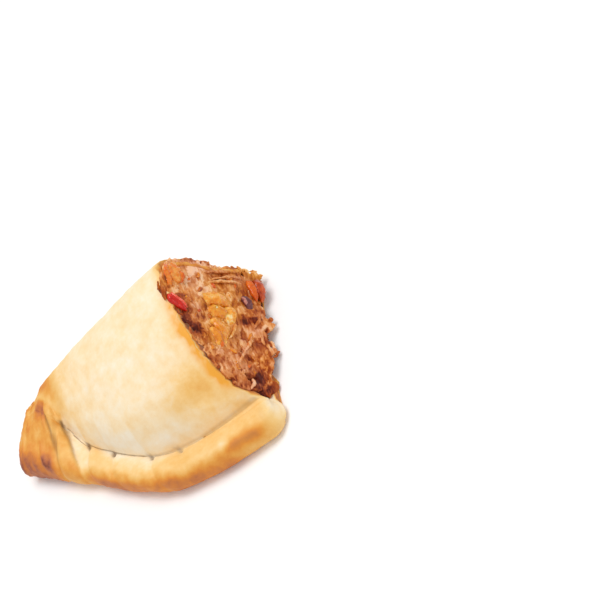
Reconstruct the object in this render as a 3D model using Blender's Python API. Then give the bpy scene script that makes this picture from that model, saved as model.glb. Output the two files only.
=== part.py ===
"""Half of a baked beef empanada, lying on its flat underside.

Metres, +Z up. +X runs along the fold from the closed tip to the cut, and +Y
from the crimped edge to the fold. The origin is the centre of the base.
The shape is made with the cut at x = 0 and the fold at y = 0, and is centred
at the end.
"""
import math
import random
from collections import namedtuple

import bmesh
import bpy
from mathutils import Euler, Vector, noise

MM = 0.001

# Driving sizes of the half
HALF_LENGTH = 89 * MM
WIDTH = 62 * MM
HEIGHT = 31.8 * MM
WALL = 2.1 * MM
CLEARANCE = 0.3 * MM

# The slanted cut: it leans back over the base, and is a little askew
CUT_SLANT = math.radians(28.5)
CUT_SKEW = math.radians(5.5)
CRIMP_END_REACH = 1.6 * MM
CRIMP_END_OVER = (-48 * MM, -57 * MM)
CUT_RAGGED = 0.8 * MM
CUT_MARGIN = 12 * MM

# At the crown, the fold and the base the crust is torn back behind the beef
SET_BACK = 2.5 * MM
SET_BACK_FROM = (-13 * MM, -5 * MM)
SET_BACK_BASE = (6 * MM, 2.2 * MM)
SET_BACK_BASE_FROM = (-50 * MM, -42 * MM)

# Plan of the crimped edge from the cut to the tip, in millimetres from the fold's
# end at the cut: a wide bow, then a straight run to a tight corner at the tip
RIM_PLAN = (
    (8, -58), (0, -60), (-12, -61.6), (-26, -62), (-38, -60), (-50, -53.6),
    (-62, -44.8), (-75, -35.8), (-86.5, -28), (-97, -22),
)
FOLD_END_INSET = 13 * MM
FOLD_BOW = 11 * MM

# The crimp: a folded rope of dough, wider at the tip
CRIMP_WIDTH = 11 * MM
CRIMP_THICKNESS = 7.8 * MM
CRIMP_SPREAD = 0.65
CRIMP_SPREAD_OVER = (0.66, 0.95)
CRIMP_END_ROUND = 4.5 * MM
CRIMP_END_DRAW = 0.3
CRIMP_TIP_THICKENING = 4 * MM
CRIMP_LARGEST_SHARE = 0.72
GROOVE_DEPTH = 1.2 * MM
GROOVE_AT_CUT = 0.3
GROOVE_DEEPENS_BY = 0.25
GROOVE_FADE_FROM = 0.86
GROOVE_TOP = 0.94
GROOVE_NOTCH = 0.8
GROOVE_NOTCH_FROM = 0.3 * MM

# Its pleats: seams by their share of the way to the tip, and each pleat's rise
PLEAT_SEAMS = (-0.3, 0.324, 0.436, 0.608, 0.708, 0.822, 0.898, 1.1)
PLEAT_RISES = (0.2 * MM, 0.45 * MM, 0.6 * MM, 0.5 * MM, -0.5 * MM, 0.9 * MM, 0.5 * MM)
SEAM_DEPTH = 0.7 * MM
SEAM_HALF_WIDTH = 0.013
SEAM_SLANT = 0.05
SEAM_SLANT_AT_TIP = 0.02
PLEAT_SWELL = 0.5

# The dome: where its top lies between crimp and fold, and how full each side is;
# the fold's side is fullest at the cut
TIP_HEIGHT = 13 * MM
TIP_BULGE = 4.5 * MM
DOME_TOP_AT = 0.78
CRIMP_SIDE_FULLNESS = 1.55
FOLD_SIDE_FULLNESS = (3.4, 2.1)
FOLD_HEIGHT_SHARE = (0.15, 0.42)
FOLD_SOFTENS_BY = 0.4
FOLD_UNDERCUT = 0.35
RIDGE_FALL = 1.6
RIDGE_FALL_POWER = 0.95

# The flat base: where it starts under the crimp, and its two middle points
BASE_START = 0.30
BASE_NEAR_FOLD = 0.62
BASE_MIDDLE = (0.45, 0.1)

# The hollow that holds the beef
HOLLOW_START = 1.0 * MM
HOLLOW_END = 0.84
HOLLOW_BULGE = 4 * MM
HOLLOW_CORNER = (1.5 * MM, 1.2 * MM)

# The beef at the cut: proud of the crust, most of all over the base
FACE_PROUD = 0.9 * MM
BASE_PROUD = 2.0 * MM
BASE_PROUD_HEIGHT = 9 * MM
REST_GAP = 0.2 * MM
LUMP_SPACING = 3.8 * MM
LUMP_RADIUS = (1.4 * MM, 2.4 * MM)
LARGE_LUMP = 1.9 * MM
LUMP_STRETCH = 1.5
LUMP_FLATNESS = 0.9
LUMP_SHIFT = 0.25
LUMP_ROWS = 0.8
LUMP_SINK = (-0.6 * MM, 0.5 * MM)
PIT_KEPT_CLEAR = 0.8
CORE_GAP = 0.55 * MM
CHUNK_PROUD = 0.5 * MM
FRONT_WAVE = 1.0 * MM
FRONT_WAVE_SIZE = 8 * MM
PIT_STEEPNESS = 1.6
LUMP_DENT = 0.18
CHUNK_DENT = 0.10
CHUNK_ROUNDING = 0.45
CHUNK_BALL = 0.62
CHUNK_BEND = 0.06

# Noise sizes of the torn cut, and how far the cutting blocks reach past the crust
RAGGED_SIZES = (9 * MM, 4 * MM)
BLOCK_MARGIN_Y = 12 * MM
BLOCK_MARGIN_Z = (4 * MM, 8 * MM)

STATIONS = 56
HOLLOW_STATIONS = 18
CUTTER_STEP = 3.0 * MM
SEED = 7

MATERIALS = {
    "crust": ((0.86, 0.62, 0.33), 0.6),
    "filling": ((0.42, 0.19, 0.10), 0.45),
    "red_pepper": ((0.66, 0.03, 0.02), 0.3),
    "orange_pepper": ((0.78, 0.24, 0.04), 0.3),
    "onion": ((0.74, 0.40, 0.10), 0.3),
}

Station = namedtuple(
    "Station", "share rim across reach top crimp_width crimp_height fold_fullness fold_height"
)
Chunk = namedtuple("Chunk", "name material across up size turn")
Pit = namedtuple("Pit", "across up radius depth")

# Vegetable pieces at the cut: place on the face, size (deep, wide, tall) and turn
CHUNKS = (
    Chunk("red_pepper_strip", "red_pepper", -20.4 * MM, 28.4 * MM, (3.0, 8.0, 2.6), 52),
    Chunk("orange_pepper_upper", "orange_pepper", -10.3 * MM, 27.8 * MM, (4.2, 8.5, 5.0), 5),
    Chunk("orange_pepper_side", "orange_pepper", -9.2 * MM, 5.2 * MM, (4.2, 8.0, 4.6), 15),
    Chunk("onion_upper", "onion", -18 * MM, 16.3 * MM, (3.6, 10.0, 8.0), -20),
    Chunk("onion_lower", "onion", -28.4 * MM, 16.4 * MM, (3.6, 7.5, 5.0), 5),
)

# Holes between the crumbs: place on the face, radius and depth
PITS = (
    Pit(-27.5 * MM, 21.5 * MM, 2.2 * MM, 3 * MM),
    Pit(-43 * MM, 7 * MM, 3.4 * MM, 4 * MM),
)


def clear_scene():
    """Remove whatever the file holds."""
    for old in list(bpy.data.objects):
        bpy.data.objects.remove(old, do_unlink=True)


def new_collection(name):
    """Collection under the scene's own."""
    made = bpy.data.collections.new(name)
    bpy.context.scene.collection.children.link(made)
    return made


def make_material(slot):
    """Principled material with the slot's colour and roughness."""
    colour, roughness = MATERIALS[slot]
    material = bpy.data.materials.new(slot)
    material.use_nodes = True
    shader = material.node_tree.nodes["Principled BSDF"]
    shader.inputs["Base Color"].default_value = (*colour, 1.0)
    shader.inputs["Roughness"].default_value = roughness
    return material


def spline(controls, t):
    """Point of a smooth curve that passes through b and c, between its outer guides."""
    a, b, c, d = controls
    rise = (c - a) * t
    bend = (2 * a - 5 * b + 4 * c - d) * t * t
    twist = (3 * b - a - 3 * c + d) * t**3
    return b + (rise + bend + twist) / 2


def smoothstep(low, high, value):
    """Smooth rise from 0 at low to 1 at high."""
    t = min(1.0, max(0.0, (value - low) / (high - low)))
    return t * t * (3 - 2 * t)


def rim_table(steps=40):
    """Points of the crimp's outer edge, their shares of its length, and that length."""
    plan = [Vector(p) * MM for p in RIM_PLAN]
    points = []
    for i in range(1, len(plan) - 2):
        points += [spline(plan[i - 1:i + 3], k / steps) for k in range(steps)]
    points.append(plan[-2])
    lengths = [0.0]
    for before, after in zip(points, points[1:]):
        lengths.append(lengths[-1] + (after - before).length)
    return points, [length / lengths[-1] for length in lengths], lengths[-1]


RIM_POINTS, RIM_SHARES, RIM_LENGTH = rim_table()


def rim_point(share):
    """Crimp's outer edge in plan, by its share of the length from cut to tip."""
    for i in range(1, len(RIM_SHARES)):
        if RIM_SHARES[i] >= share:
            break
    span = RIM_SHARES[i] - RIM_SHARES[i - 1]
    return RIM_POINTS[i - 1].lerp(RIM_POINTS[i], (share - RIM_SHARES[i - 1]) / span)


def fold_point(share):
    """Fold's outer edge in plan: nearly straight, bowed towards the crimp at the tip."""
    x = -(HALF_LENGTH - FOLD_END_INSET) * share
    return Vector((x, -FOLD_BOW * (x / HALF_LENGTH) ** 2))


def station(share):
    """Sizes of the section that runs from the crimp's edge to the fold."""
    rim = rim_point(share)
    across = fold_point(share) - rim
    reach = across.length
    top = TIP_HEIGHT + (HEIGHT - TIP_HEIGHT) * max(0.0, 1 - share**RIDGE_FALL) ** RIDGE_FALL_POWER
    spread = CRIMP_SPREAD * smoothstep(*CRIMP_SPREAD_OVER, share)
    width = min(CRIMP_WIDTH * (1 + spread), CRIMP_LARGEST_SHARE * reach)
    height = CRIMP_THICKNESS + CRIMP_TIP_THICKENING * spread
    soft = min(1.0, share / FOLD_SOFTENS_BY)
    fullness = FOLD_SIDE_FULLNESS[0] * (1 - soft) + FOLD_SIDE_FULLNESS[1] * soft
    fold_height = top * (FOLD_HEIGHT_SHARE[0] * (1 - soft) + FOLD_HEIGHT_SHARE[1] * soft)
    return Station(share, rim, across / reach, reach, top, width, height, fullness, fold_height)


def pleat_height(share, inward):
    """Height of the pleats over the plain rope, negative in a seam.

    inward is 0 at the crimp's outer edge and 1 at the groove. The seams slant
    towards the cut on their way out.
    """
    along = share + (SEAM_SLANT + SEAM_SLANT_AT_TIP * share**3) * (1 - inward)
    height = 0.0
    for low, high, rise in zip(PLEAT_SEAMS, PLEAT_SEAMS[1:], PLEAT_RISES):
        if low <= along < high:
            height = rise * (1 - abs(2 * (along - low) / (high - low) - 1) ** 4)
    for seam in PLEAT_SEAMS[1:-1]:
        sunk = math.exp(-(((along - seam) / SEAM_HALF_WIDTH) ** 2))
        height -= SEAM_DEPTH * smoothstep(0.0, 0.7, inward) * sunk
    return height


def crimp_outline(s):
    """Crimp from its underside round the outer edge to the groove."""
    shape = (
        (0.12, 0.10), (0.02, 0.26), (0.00, 0.46), (0.04, 0.68), (0.14, 0.88),
        (0.30, 0.99), (0.48, 1.01), (0.66, 0.97), (0.80, 0.91), (0.90, 0.82),
    )
    points = []
    for inward, up in shape:
        height = pleat_height(s.share, inward)
        raised = height * min(1.0, up * 1.2)
        swell = PLEAT_SWELL * max(0.0, height) * max(0.0, 1 - 3 * inward)
        points.append((inward * s.crimp_width - swell, up * s.crimp_height + raised))
    return points


def groove_at(s):
    """Groove between crimp and dome, notched into the rope at the seams."""
    return s.crimp_width - GROOVE_NOTCH * max(0.0, GROOVE_NOTCH_FROM - pleat_height(s.share, 1.0))


def groove_depth(s):
    """The groove is shallow at the cut, and runs out where crimp and dome merge at the tip."""
    deepened = smoothstep(0, GROOVE_DEEPENS_BY, s.share)
    depth = GROOVE_DEPTH * (GROOVE_AT_CUT + (1 - GROOVE_AT_CUT) * deepened)
    return depth * (1 - smoothstep(GROOVE_FADE_FROM, 1.0, s.share))


def arch(low, top, start, crest, end, fold_height, fullness, steps_up, steps_down):
    """Dome between crimp and fold: two quarter superellipses."""
    points = []
    power = 2 / CRIMP_SIDE_FULLNESS
    for i in range(1, steps_up + 1):
        angle = math.pi / 2 * i / steps_up
        run = 1 - math.cos(angle) ** power
        points.append((start + (crest - start) * run, low + (top - low) * math.sin(angle) ** power))
    power = 2 / fullness
    for i in range(1, steps_down + 1):
        angle = math.pi / 2 * i / steps_down
        run = math.sin(angle) ** power
        drop = max(0.0, math.cos(angle)) ** power
        points.append((crest + (end - crest) * run, fold_height + (top - fold_height) * drop))
    return points


def outer_profile(s):
    """Closed outline of the whole crust at a station, as (across, up) pairs."""
    low = GROOVE_TOP * s.crimp_height - groove_depth(s)
    crest = s.crimp_width + (s.reach - s.crimp_width) * DOME_TOP_AT
    points = [(BASE_START * s.crimp_width, 0.0)]
    points += crimp_outline(s)
    points.append((groove_at(s), low))
    points += arch(
        low, s.top, s.crimp_width, crest, s.reach, s.fold_height, s.fold_fullness, 9, 8
    )
    for i in range(1, 4):
        angle = math.pi / 2 * i / 3
        inset = FOLD_UNDERCUT * s.fold_height * (1 - math.cos(angle))
        points.append((s.reach - inset, s.fold_height * (1 - math.sin(angle))))
    points.append((BASE_NEAR_FOLD * s.reach, 0.0))
    points.append((BASE_MIDDLE[0] * s.reach + BASE_MIDDLE[1] * s.crimp_width, 0.0))
    return points


def inner_profile(s, gap):
    """Closed outline of the hollow, shrunk by gap on every side."""
    start = s.crimp_width + HOLLOW_START + gap
    floor = WALL + gap
    end = s.reach - WALL - gap
    top = s.top - WALL - gap
    crest = start + (end - start) * DOME_TOP_AT
    corner_run, corner_rise = HOLLOW_CORNER
    fold_height = max(s.fold_height, floor + corner_run)
    points = [(start + corner_run, floor)]
    points += [(start, floor + corner_rise)]
    points += arch(
        floor + corner_rise, top, start, crest, end, fold_height, s.fold_fullness, 8, 6
    )
    for i in range(1, 4):
        angle = math.pi / 2 * i / 3
        round_off = fold_height - floor
        inset = FOLD_UNDERCUT * round_off * (1 - math.cos(angle))
        points.append((end - inset, fold_height - round_off * math.sin(angle)))
    points.append((0.5 * (start + end), floor))
    return points


def round_crimp_end(s, profile):
    """Draw the rope's outline in near the cut, so that its end is rounded."""
    behind = s.share * RIM_LENGTH
    t = max(0.0, 1 - behind / CRIMP_END_ROUND)
    draw = CRIMP_END_DRAW * (1 - math.sqrt(1 - t * t))
    middle = Vector((0.62 * s.crimp_width, 0.45 * s.crimp_height))
    drawn = []
    for point in profile:
        keep = 1 - draw * (1 - smoothstep(0.4, 1.0, point[0] / s.crimp_width))
        drawn.append(middle + (Vector(point) - middle) * keep)
    return drawn


def cut_x(y, z):
    """Middle surface of the cut; the crimp's end reaches out a little."""
    slanted = -math.tan(CUT_SLANT) * z + math.tan(CUT_SKEW) * (y + WIDTH / 2)
    return slanted + CRIMP_END_REACH * smoothstep(*CRIMP_END_OVER, y)


def placed(s, profile):
    """Points of a station's outline in space; the sections lean with the cut."""
    ring = []
    for across, up in profile:
        spot = s.rim + s.across * across
        lean = (1 - s.share) * cut_x(spot.y, up)
        ring.append(Vector((spot.x + lean, spot.y, up)))
    return ring


def rounded_end(ring, outward, bulge, steps=3):
    """Rings that close a loft in a rounded end."""
    middle = sum(ring, Vector()) / len(ring)
    rings = []
    for i in range(1, steps + 1):
        angle = math.radians(80) * i / steps
        push = outward * bulge * math.sin(angle)
        rings.append([middle + (p - middle) * math.cos(angle) + push for p in ring])
    return rings


def loft(name, rings):
    """Closed solid through rings of equal count, first and last ring capped."""
    mesh = bmesh.new()
    layers = [[mesh.verts.new(p) for p in ring] for ring in rings]
    count = len(rings[0])
    for before, after in zip(layers, layers[1:]):
        for i in range(count):
            j = (i + 1) % count
            mesh.faces.new((before[i], before[j], after[j], after[i]))
    mesh.faces.new(layers[0])
    mesh.faces.new(list(reversed(layers[-1])))
    bmesh.ops.recalc_face_normals(mesh, faces=mesh.faces)
    bmesh.ops.triangulate(mesh, faces=[f for f in mesh.faces if len(f.verts) > 4])
    return to_object(name, mesh)


def to_object(name, mesh):
    """Object from a bmesh, in the cutters' collection until it is finished."""
    data = bpy.data.meshes.new(name)
    mesh.to_mesh(data)
    mesh.free()
    made = bpy.data.objects.new(name, data)
    cutters.objects.link(made)
    return made


def boolean(target, operation, other, solver="EXACT"):
    """Apply one Boolean to the target. other is an object or a collection."""
    modifier = target.modifiers.new(operation.lower(), "BOOLEAN")
    modifier.operation = operation
    modifier.solver = solver
    if isinstance(other, bpy.types.Collection):
        modifier.operand_type = "COLLECTION"
        modifier.collection = other
    else:
        modifier.object = other
    bpy.context.view_layer.update()
    evaluated = target.evaluated_get(bpy.context.evaluated_depsgraph_get())
    result = bpy.data.meshes.new_from_object(evaluated)
    target.modifiers.remove(modifier)
    old = target.data
    target.data = result
    bpy.data.meshes.remove(old)


def outer_shell(name):
    """The crust as one uncut solid, running past the cut."""
    stations = [station(i / STATIONS) for i in range(STATIONS + 1)]
    rings = [placed(s, round_crimp_end(s, outer_profile(s))) for s in stations]
    beyond = [p + Vector((CUT_MARGIN, 0, 0)) for p in rings[0]]
    last = stations[-1]
    outward = Vector((-last.across.y, last.across.x, 0))
    return loft(name, [beyond] + rings + rounded_end(rings[-1], outward, TIP_BULGE))


def hollow_solid(name, gap):
    """The space inside the crust, shrunk by gap, running past the cut."""
    stations = [station(HOLLOW_END * i / HOLLOW_STATIONS) for i in range(HOLLOW_STATIONS + 1)]
    rings = [placed(s, inner_profile(s, gap)) for s in stations]
    beyond = [p + Vector((2 * CUT_MARGIN, 0, 0)) for p in rings[0]]
    last = stations[-1]
    outward = Vector((-last.across.y, last.across.x, 0))
    return loft(name, [beyond] + rings + rounded_end(rings[-1], outward, HOLLOW_BULGE - gap))


def front_block(name, front):
    """Closed block that starts at the surface x = front(y, z) and removes what is beyond."""
    low_y, high_y = -WIDTH - BLOCK_MARGIN_Y, BLOCK_MARGIN_Y
    low_z, high_z = -BLOCK_MARGIN_Z[0], HEIGHT + BLOCK_MARGIN_Z[1]
    columns = round((high_y - low_y) / CUTTER_STEP)
    rows = round((high_z - low_z) / CUTTER_STEP)
    mesh = bmesh.new()
    bmesh.ops.create_grid(mesh, x_segments=columns, y_segments=rows, size=0.5)
    for vert in mesh.verts:
        y = low_y + (vert.co.x + 0.5) * (high_y - low_y)
        z = low_z + (vert.co.y + 0.5) * (high_z - low_z)
        vert.co = Vector((front(y, z), y, z))
    faces = bmesh.ops.extrude_face_region(mesh, geom=list(mesh.faces))
    for item in faces["geom"]:
        if isinstance(item, bmesh.types.BMVert):
            item.co.x = 4 * CUT_MARGIN
    bmesh.ops.recalc_face_normals(mesh, faces=mesh.faces)
    return to_object(name, mesh)


def set_back(y, z):
    """How far the crust is torn back behind the beef at a place on the cut."""
    far = smoothstep(*SET_BACK_FROM, y)
    below = smoothstep(*SET_BACK_BASE, z) * smoothstep(*SET_BACK_BASE_FROM, y)
    return SET_BACK * max(far, below)


def ragged_cut(y, z):
    """Cut through the crust: torn a little unevenly, and back on its far sides."""
    broad_size, fine_size = RAGGED_SIZES
    broad = noise.noise(Vector((y, z, 0)) / broad_size)
    fine = noise.noise(Vector((y, z, 3)) / fine_size)
    return cut_x(y, z) + CUT_RAGGED * (broad + 0.5 * fine) - set_back(y, z)


def cut_clear(y, z):
    """The same cut moved out by the clearance."""
    return ragged_cut(y, z) + CLEARANCE


def beef_front(y, z):
    """Front of the beef's core: proud of the crust, lumpy, with a few holes."""
    proud = FACE_PROUD + BASE_PROUD * max(0.0, 1 - z / BASE_PROUD_HEIGHT)
    proud += FRONT_WAVE * noise.noise(Vector((y, z, 7)) / FRONT_WAVE_SIZE)
    for pit in PITS:
        nearness = 1 - math.hypot(y - pit.across, z - pit.up) / pit.radius
        proud -= pit.depth * min(1.0, max(0.0, PIT_STEEPNESS * nearness))
    return cut_x(y, z) + proud


def in_pit(y, z):
    """Whether a crumb's place falls in a hole."""
    for pit in PITS:
        if math.hypot(y - pit.across, z - pit.up) < PIT_KEPT_CLEAR * pit.radius:
            return True
    return False


def face_frame():
    """Axes of the slanted cut: along the width, up the slope, and out."""
    up = Vector((-math.sin(CUT_SLANT), 0, math.cos(CUT_SLANT)))
    out = Vector((math.cos(CUT_SLANT), 0, math.sin(CUT_SLANT)))
    return Vector((0, 1, 0)), up, out


def inside(outline, y, z):
    """Whether a point lies within a closed outline of (y, z) pairs."""
    hit = False
    for (y0, z0), (y1, z1) in zip(outline, outline[1:] + outline[:1]):
        if (z0 > z) != (z1 > z) and y < (y1 - y0) * (z - z0) / (z1 - z0) + y0:
            hit = not hit
    return hit


def lump(collection, centre, radii, turn):
    """One crumb of mince: an uneven stretched ball of few faces."""
    mesh = bmesh.new()
    detail = 2 if radii[1] > LARGE_LUMP else 1
    bmesh.ops.create_icosphere(mesh, subdivisions=detail, radius=1)
    for vert in mesh.verts:
        dent = 1 + LUMP_DENT * noise.noise(vert.co * 1.7 + centre * 900)
        vert.co = Vector(v * r for v, r in zip(vert.co * dent, radii))
        vert.co.rotate(turn)
        vert.co += centre
        vert.co.z = max(vert.co.z, REST_GAP)
    made = to_object("crumb", mesh)
    cutters.objects.unlink(made)
    collection.objects.link(made)


def scatter_lumps(collection, rng):
    """Crumbs spread evenly over the cut face, inside the crust's edge."""
    first = station(0.0)
    ring = placed(first, inner_profile(first, CORE_GAP))
    outline = [(p.y, p.z) for p in ring]
    row = 0
    z = WALL
    while z < HEIGHT:
        y = -WIDTH + (row % 2) * LUMP_SPACING / 2
        while y < 0:
            spot_y = y + rng.uniform(-LUMP_SHIFT, LUMP_SHIFT) * LUMP_SPACING
            spot_z = z + rng.uniform(-LUMP_SHIFT, LUMP_SHIFT) * LUMP_SPACING
            if inside(outline, spot_y, spot_z) and not in_pit(spot_y, spot_z):
                radius = rng.uniform(*LUMP_RADIUS)
                radii = (radius * LUMP_STRETCH, radius, radius * LUMP_FLATNESS)
                turn = Euler([rng.uniform(0, math.pi) for _ in range(3)])
                x = beef_front(spot_y, spot_z) + rng.uniform(*LUMP_SINK)
                lump(collection, Vector((x, spot_y, spot_z)), radii, turn)
            y += LUMP_SPACING
        row += 1
        z += LUMP_SPACING * LUMP_ROWS


def fuse_lumps(core):
    """Join the crumbs to the beef in one union, then drop them."""
    rng = random.Random(SEED)
    crumbs = new_collection("crumbs")
    scatter_lumps(crumbs, rng)
    boolean(core, "UNION", crumbs, "MANIFOLD")
    for crumb in list(crumbs.objects):
        bpy.data.objects.remove(crumb, do_unlink=True)
    bpy.data.collections.remove(crumbs)


def chunk_solid(chunk, name, grow):
    """A rounded, slightly bent piece of vegetable half sunk in the cut face."""
    mesh = bmesh.new()
    bmesh.ops.create_cube(mesh, size=1)
    bmesh.ops.subdivide_edges(mesh, edges=list(mesh.edges), cuts=2, use_grid_fill=True)
    along, up, out = face_frame()
    angle = math.radians(chunk.turn)
    side = along * math.cos(angle) + up * math.sin(angle)
    rise = up * math.cos(angle) - along * math.sin(angle)
    proud = FACE_PROUD + CHUNK_PROUD
    centre = Vector((cut_x(chunk.across, chunk.up) + proud, chunk.across, chunk.up))
    for vert in mesh.verts:
        ball = vert.co.normalized() * CHUNK_BALL
        co = vert.co.lerp(ball, CHUNK_ROUNDING)
        co *= 1 + CHUNK_DENT * noise.noise(vert.co * 2.1 + centre * 300)
        depth, wide, tall = [c * (d * MM + 2 * grow) for c, d in zip(co, chunk.size)]
        depth -= CHUNK_BEND * wide * wide / MM
        vert.co = centre + out * depth + side * wide + rise * tall
    bmesh.ops.recalc_face_normals(mesh, faces=mesh.faces)
    return to_object(name, mesh)


def drop_scraps(obj):
    """Keep the largest connected body of a mesh."""
    mesh = bmesh.new()
    mesh.from_mesh(obj.data)
    bmesh.ops.dissolve_degenerate(mesh, edges=mesh.edges, dist=1e-7)
    left = set(mesh.verts)
    bodies = []
    while left:
        body, edge = set(), [next(iter(left))]
        while edge:
            vert = edge.pop()
            if vert in body:
                continue
            body.add(vert)
            edge.extend(e.other_vert(vert) for e in vert.link_edges)
        left -= body
        bodies.append(body)
    largest = max(bodies, key=len)
    loose = [v for v in mesh.verts if v not in largest]
    bmesh.ops.delete(mesh, geom=loose, context="VERTS")
    bmesh.ops.triangulate(mesh, faces=mesh.faces)
    mesh.to_mesh(obj.data)
    mesh.free()


def finish(obj, slot):
    """Move a finished solid to the food's collection, smooth, with its material."""
    cutters.objects.unlink(obj)
    food.objects.link(obj)
    obj.data.materials.clear()
    obj.data.materials.append(materials[slot])
    obj.data.shade_smooth()
    return obj


def centre_on_base(objects):
    """Put the origin at the centre of the common base."""
    corners = [v.co for obj in objects for v in obj.data.vertices]
    low = [min(c[i] for c in corners) for i in range(3)]
    high = [max(c[i] for c in corners) for i in range(3)]
    shift = Vector(((low[0] + high[0]) / 2, (low[1] + high[1]) / 2, low[2]))
    for obj in objects:
        for vert in obj.data.vertices:
            vert.co -= shift


clear_scene()
food = new_collection("half_empanada")
cutters = new_collection("cutters")
materials = {slot: make_material(slot) for slot in MATERIALS}

crust = outer_shell("crust")
hollow = hollow_solid("hollow", 0.0)
cut = front_block("cut", ragged_cut)
boolean(crust, "DIFFERENCE", hollow)
boolean(crust, "DIFFERENCE", cut)

beef = hollow_solid("beef_filling", CORE_GAP)
beef_cut = front_block("beef_cut", beef_front)
boolean(beef, "DIFFERENCE", beef_cut)
fuse_lumps(beef)

keep_clear = outer_shell("keep_clear")
clear_hollow = hollow_solid("clear_hollow", CLEARANCE)
clear_cut = front_block("clear_cut", cut_clear)
boolean(keep_clear, "DIFFERENCE", clear_hollow)
boolean(keep_clear, "DIFFERENCE", clear_cut)
boolean(beef, "DIFFERENCE", keep_clear, "MANIFOLD")

pieces = [finish(crust, "crust")]
for chunk in CHUNKS:
    pocket = chunk_solid(chunk, chunk.name + "_pocket", CLEARANCE)
    boolean(beef, "DIFFERENCE", pocket, "MANIFOLD")
    piece = chunk_solid(chunk, chunk.name, 0.0)
    boolean(piece, "DIFFERENCE", keep_clear, "MANIFOLD")
    pieces.append(finish(piece, chunk.material))
pieces.append(finish(beef, "filling"))

for piece in pieces:
    drop_scraps(piece)
for guide in list(cutters.objects):
    bpy.data.objects.remove(guide, do_unlink=True)
centre_on_base(pieces)
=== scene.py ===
"""Looks of the half beef empanada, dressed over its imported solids."""
import math
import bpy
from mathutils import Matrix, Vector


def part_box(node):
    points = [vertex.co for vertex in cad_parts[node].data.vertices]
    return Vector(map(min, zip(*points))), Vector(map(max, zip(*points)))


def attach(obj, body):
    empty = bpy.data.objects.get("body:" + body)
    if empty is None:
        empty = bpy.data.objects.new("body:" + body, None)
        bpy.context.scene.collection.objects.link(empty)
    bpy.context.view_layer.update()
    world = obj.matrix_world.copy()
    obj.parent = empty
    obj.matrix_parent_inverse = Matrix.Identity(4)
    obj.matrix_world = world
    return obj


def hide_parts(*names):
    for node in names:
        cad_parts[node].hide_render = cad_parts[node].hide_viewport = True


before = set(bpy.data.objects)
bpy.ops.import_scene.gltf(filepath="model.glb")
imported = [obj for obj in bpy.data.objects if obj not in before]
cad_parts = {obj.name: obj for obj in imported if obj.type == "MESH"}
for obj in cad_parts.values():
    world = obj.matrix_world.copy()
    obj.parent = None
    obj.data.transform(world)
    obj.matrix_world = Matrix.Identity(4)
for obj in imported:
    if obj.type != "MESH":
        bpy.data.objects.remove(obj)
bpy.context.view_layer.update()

from types import SimpleNamespace

import bmesh
import bpy
import numpy as np
from mathutils import Matrix, Vector, noise
from mathutils.kdtree import KDTree

# Crust: a round of wheat dough folded over the beef, crimped by hand along its curved
# edge and baked on a flat tray. It is lofted from sections that run from the crimp's
# edge over the dome to the fold, and ends in the torn edge that the cut left.
MM = 0.001
HALF_LENGTH = 89 * MM
WIDTH = 62 * MM
HEIGHT = 31.8 * MM
WALL = 2.1 * MM
CUT_SLANT = math.radians(28.5)
CUT_SKEW = math.radians(5.5)
# The crimp's edge in plan, in mm, from before the cut to past the tip
RIM_PLAN = (
    (8, -58), (0, -60), (-12, -61.6), (-26, -62), (-38, -60), (-50, -53.6),
    (-62, -44.8), (-75, -35.8), (-86.5, -28), (-97, -22),
)
FOLD_END_INSET = 13 * MM
FOLD_BOW = 11 * MM
CRIMP_WIDTH = 11 * MM
CRIMP_MOST_SHARE = 0.72
CRIMP_THICKNESS = 7.8 * MM
CRIMP_THICKENS = 4 * MM
CRIMP_SPREAD = 0.65
CRIMP_SPREAD_OVER = (0.66, 0.95)
CRIMP_SECTION = (
    (0.55, 0.00), (0.30, 0.00), (0.12, 0.10), (0.02, 0.26), (0.00, 0.46), (0.04, 0.68), (0.14, 0.88),
    (0.30, 0.99), (0.48, 1.01), (0.66, 0.97), (0.80, 0.91), (0.90, 0.82), (1.02, 0.70),
)
CRIMP_END_ROUND = 4.5 * MM
CRIMP_END_DRAW = 0.3
CRIMP_END_REACH = 1.6 * MM
CRIMP_END_OVER = (-48 * MM, -57 * MM)
GROOVE_DEPTH = 1.2 * MM
GROOVE_AT_CUT = 0.3
GROOVE_FADE_FROM = 0.86
# The pleats, by their shares of the way from the cut to the tip
PLEAT_SEAMS = (-0.3, 0.324, 0.436, 0.608, 0.724, 0.806, 0.876, 1.1)
PLEAT_RISES = (0.2 * MM, 0.45 * MM, 0.6 * MM, 0.5 * MM, -0.5 * MM, 0.9 * MM, 0.5 * MM)
SEAM_DEPTH = 0.7 * MM
SEAM_WIDTH = 0.008
SEAM_SLANT = 0.05
SEAM_SLANT_AT_TIP = 0.02
# The strip of dough folded over at the tip: its edges' shares of the way, by their places
# round the section
STRIP_FROM = 0.70
STRIP_PLACES = (20, 33, 41, 48, 54, 59, 62, 66, 70, 75, 83, 93)
STRIP_NEAR = (0.74, 0.742, 0.744, 0.752, 0.768, 0.784, 0.796, 0.812, 0.827, 0.832, 0.826, 0.81)
STRIP_FAR = (0.826, 0.828, 0.834, 0.842, 0.85, 0.855, 0.858, 0.866, 0.873, 0.88, 0.886, 0.89)
PLACE_INWARD = (0, 0.14, 0.30, 0.48, 0.66, 0.80, 0.90, 1.0)
PLACE_NUMBER = (26, 34, 42, 50, 58, 64, 69.5, 74)
TIP_HEIGHT = 13 * MM
TIP_BULGE = 4.5 * MM
TIP_MERGES_OVER = (0.805, 0.86)
MERGE_PLACES = (58, 66, 94, 104)
MERGE_ROUNDS = 30
BRIDGE_RISE = 0.7 * MM
RIDGE_FALL = (1.6, 0.95)
DOME_TOP_AT = 0.78
CRIMP_SIDE_FULLNESS = 1.55
FOLD_SIDE_FULLNESS = (3.4, 2.1)
FOLD_HEIGHT_SHARE = (0.15, 0.42)
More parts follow.
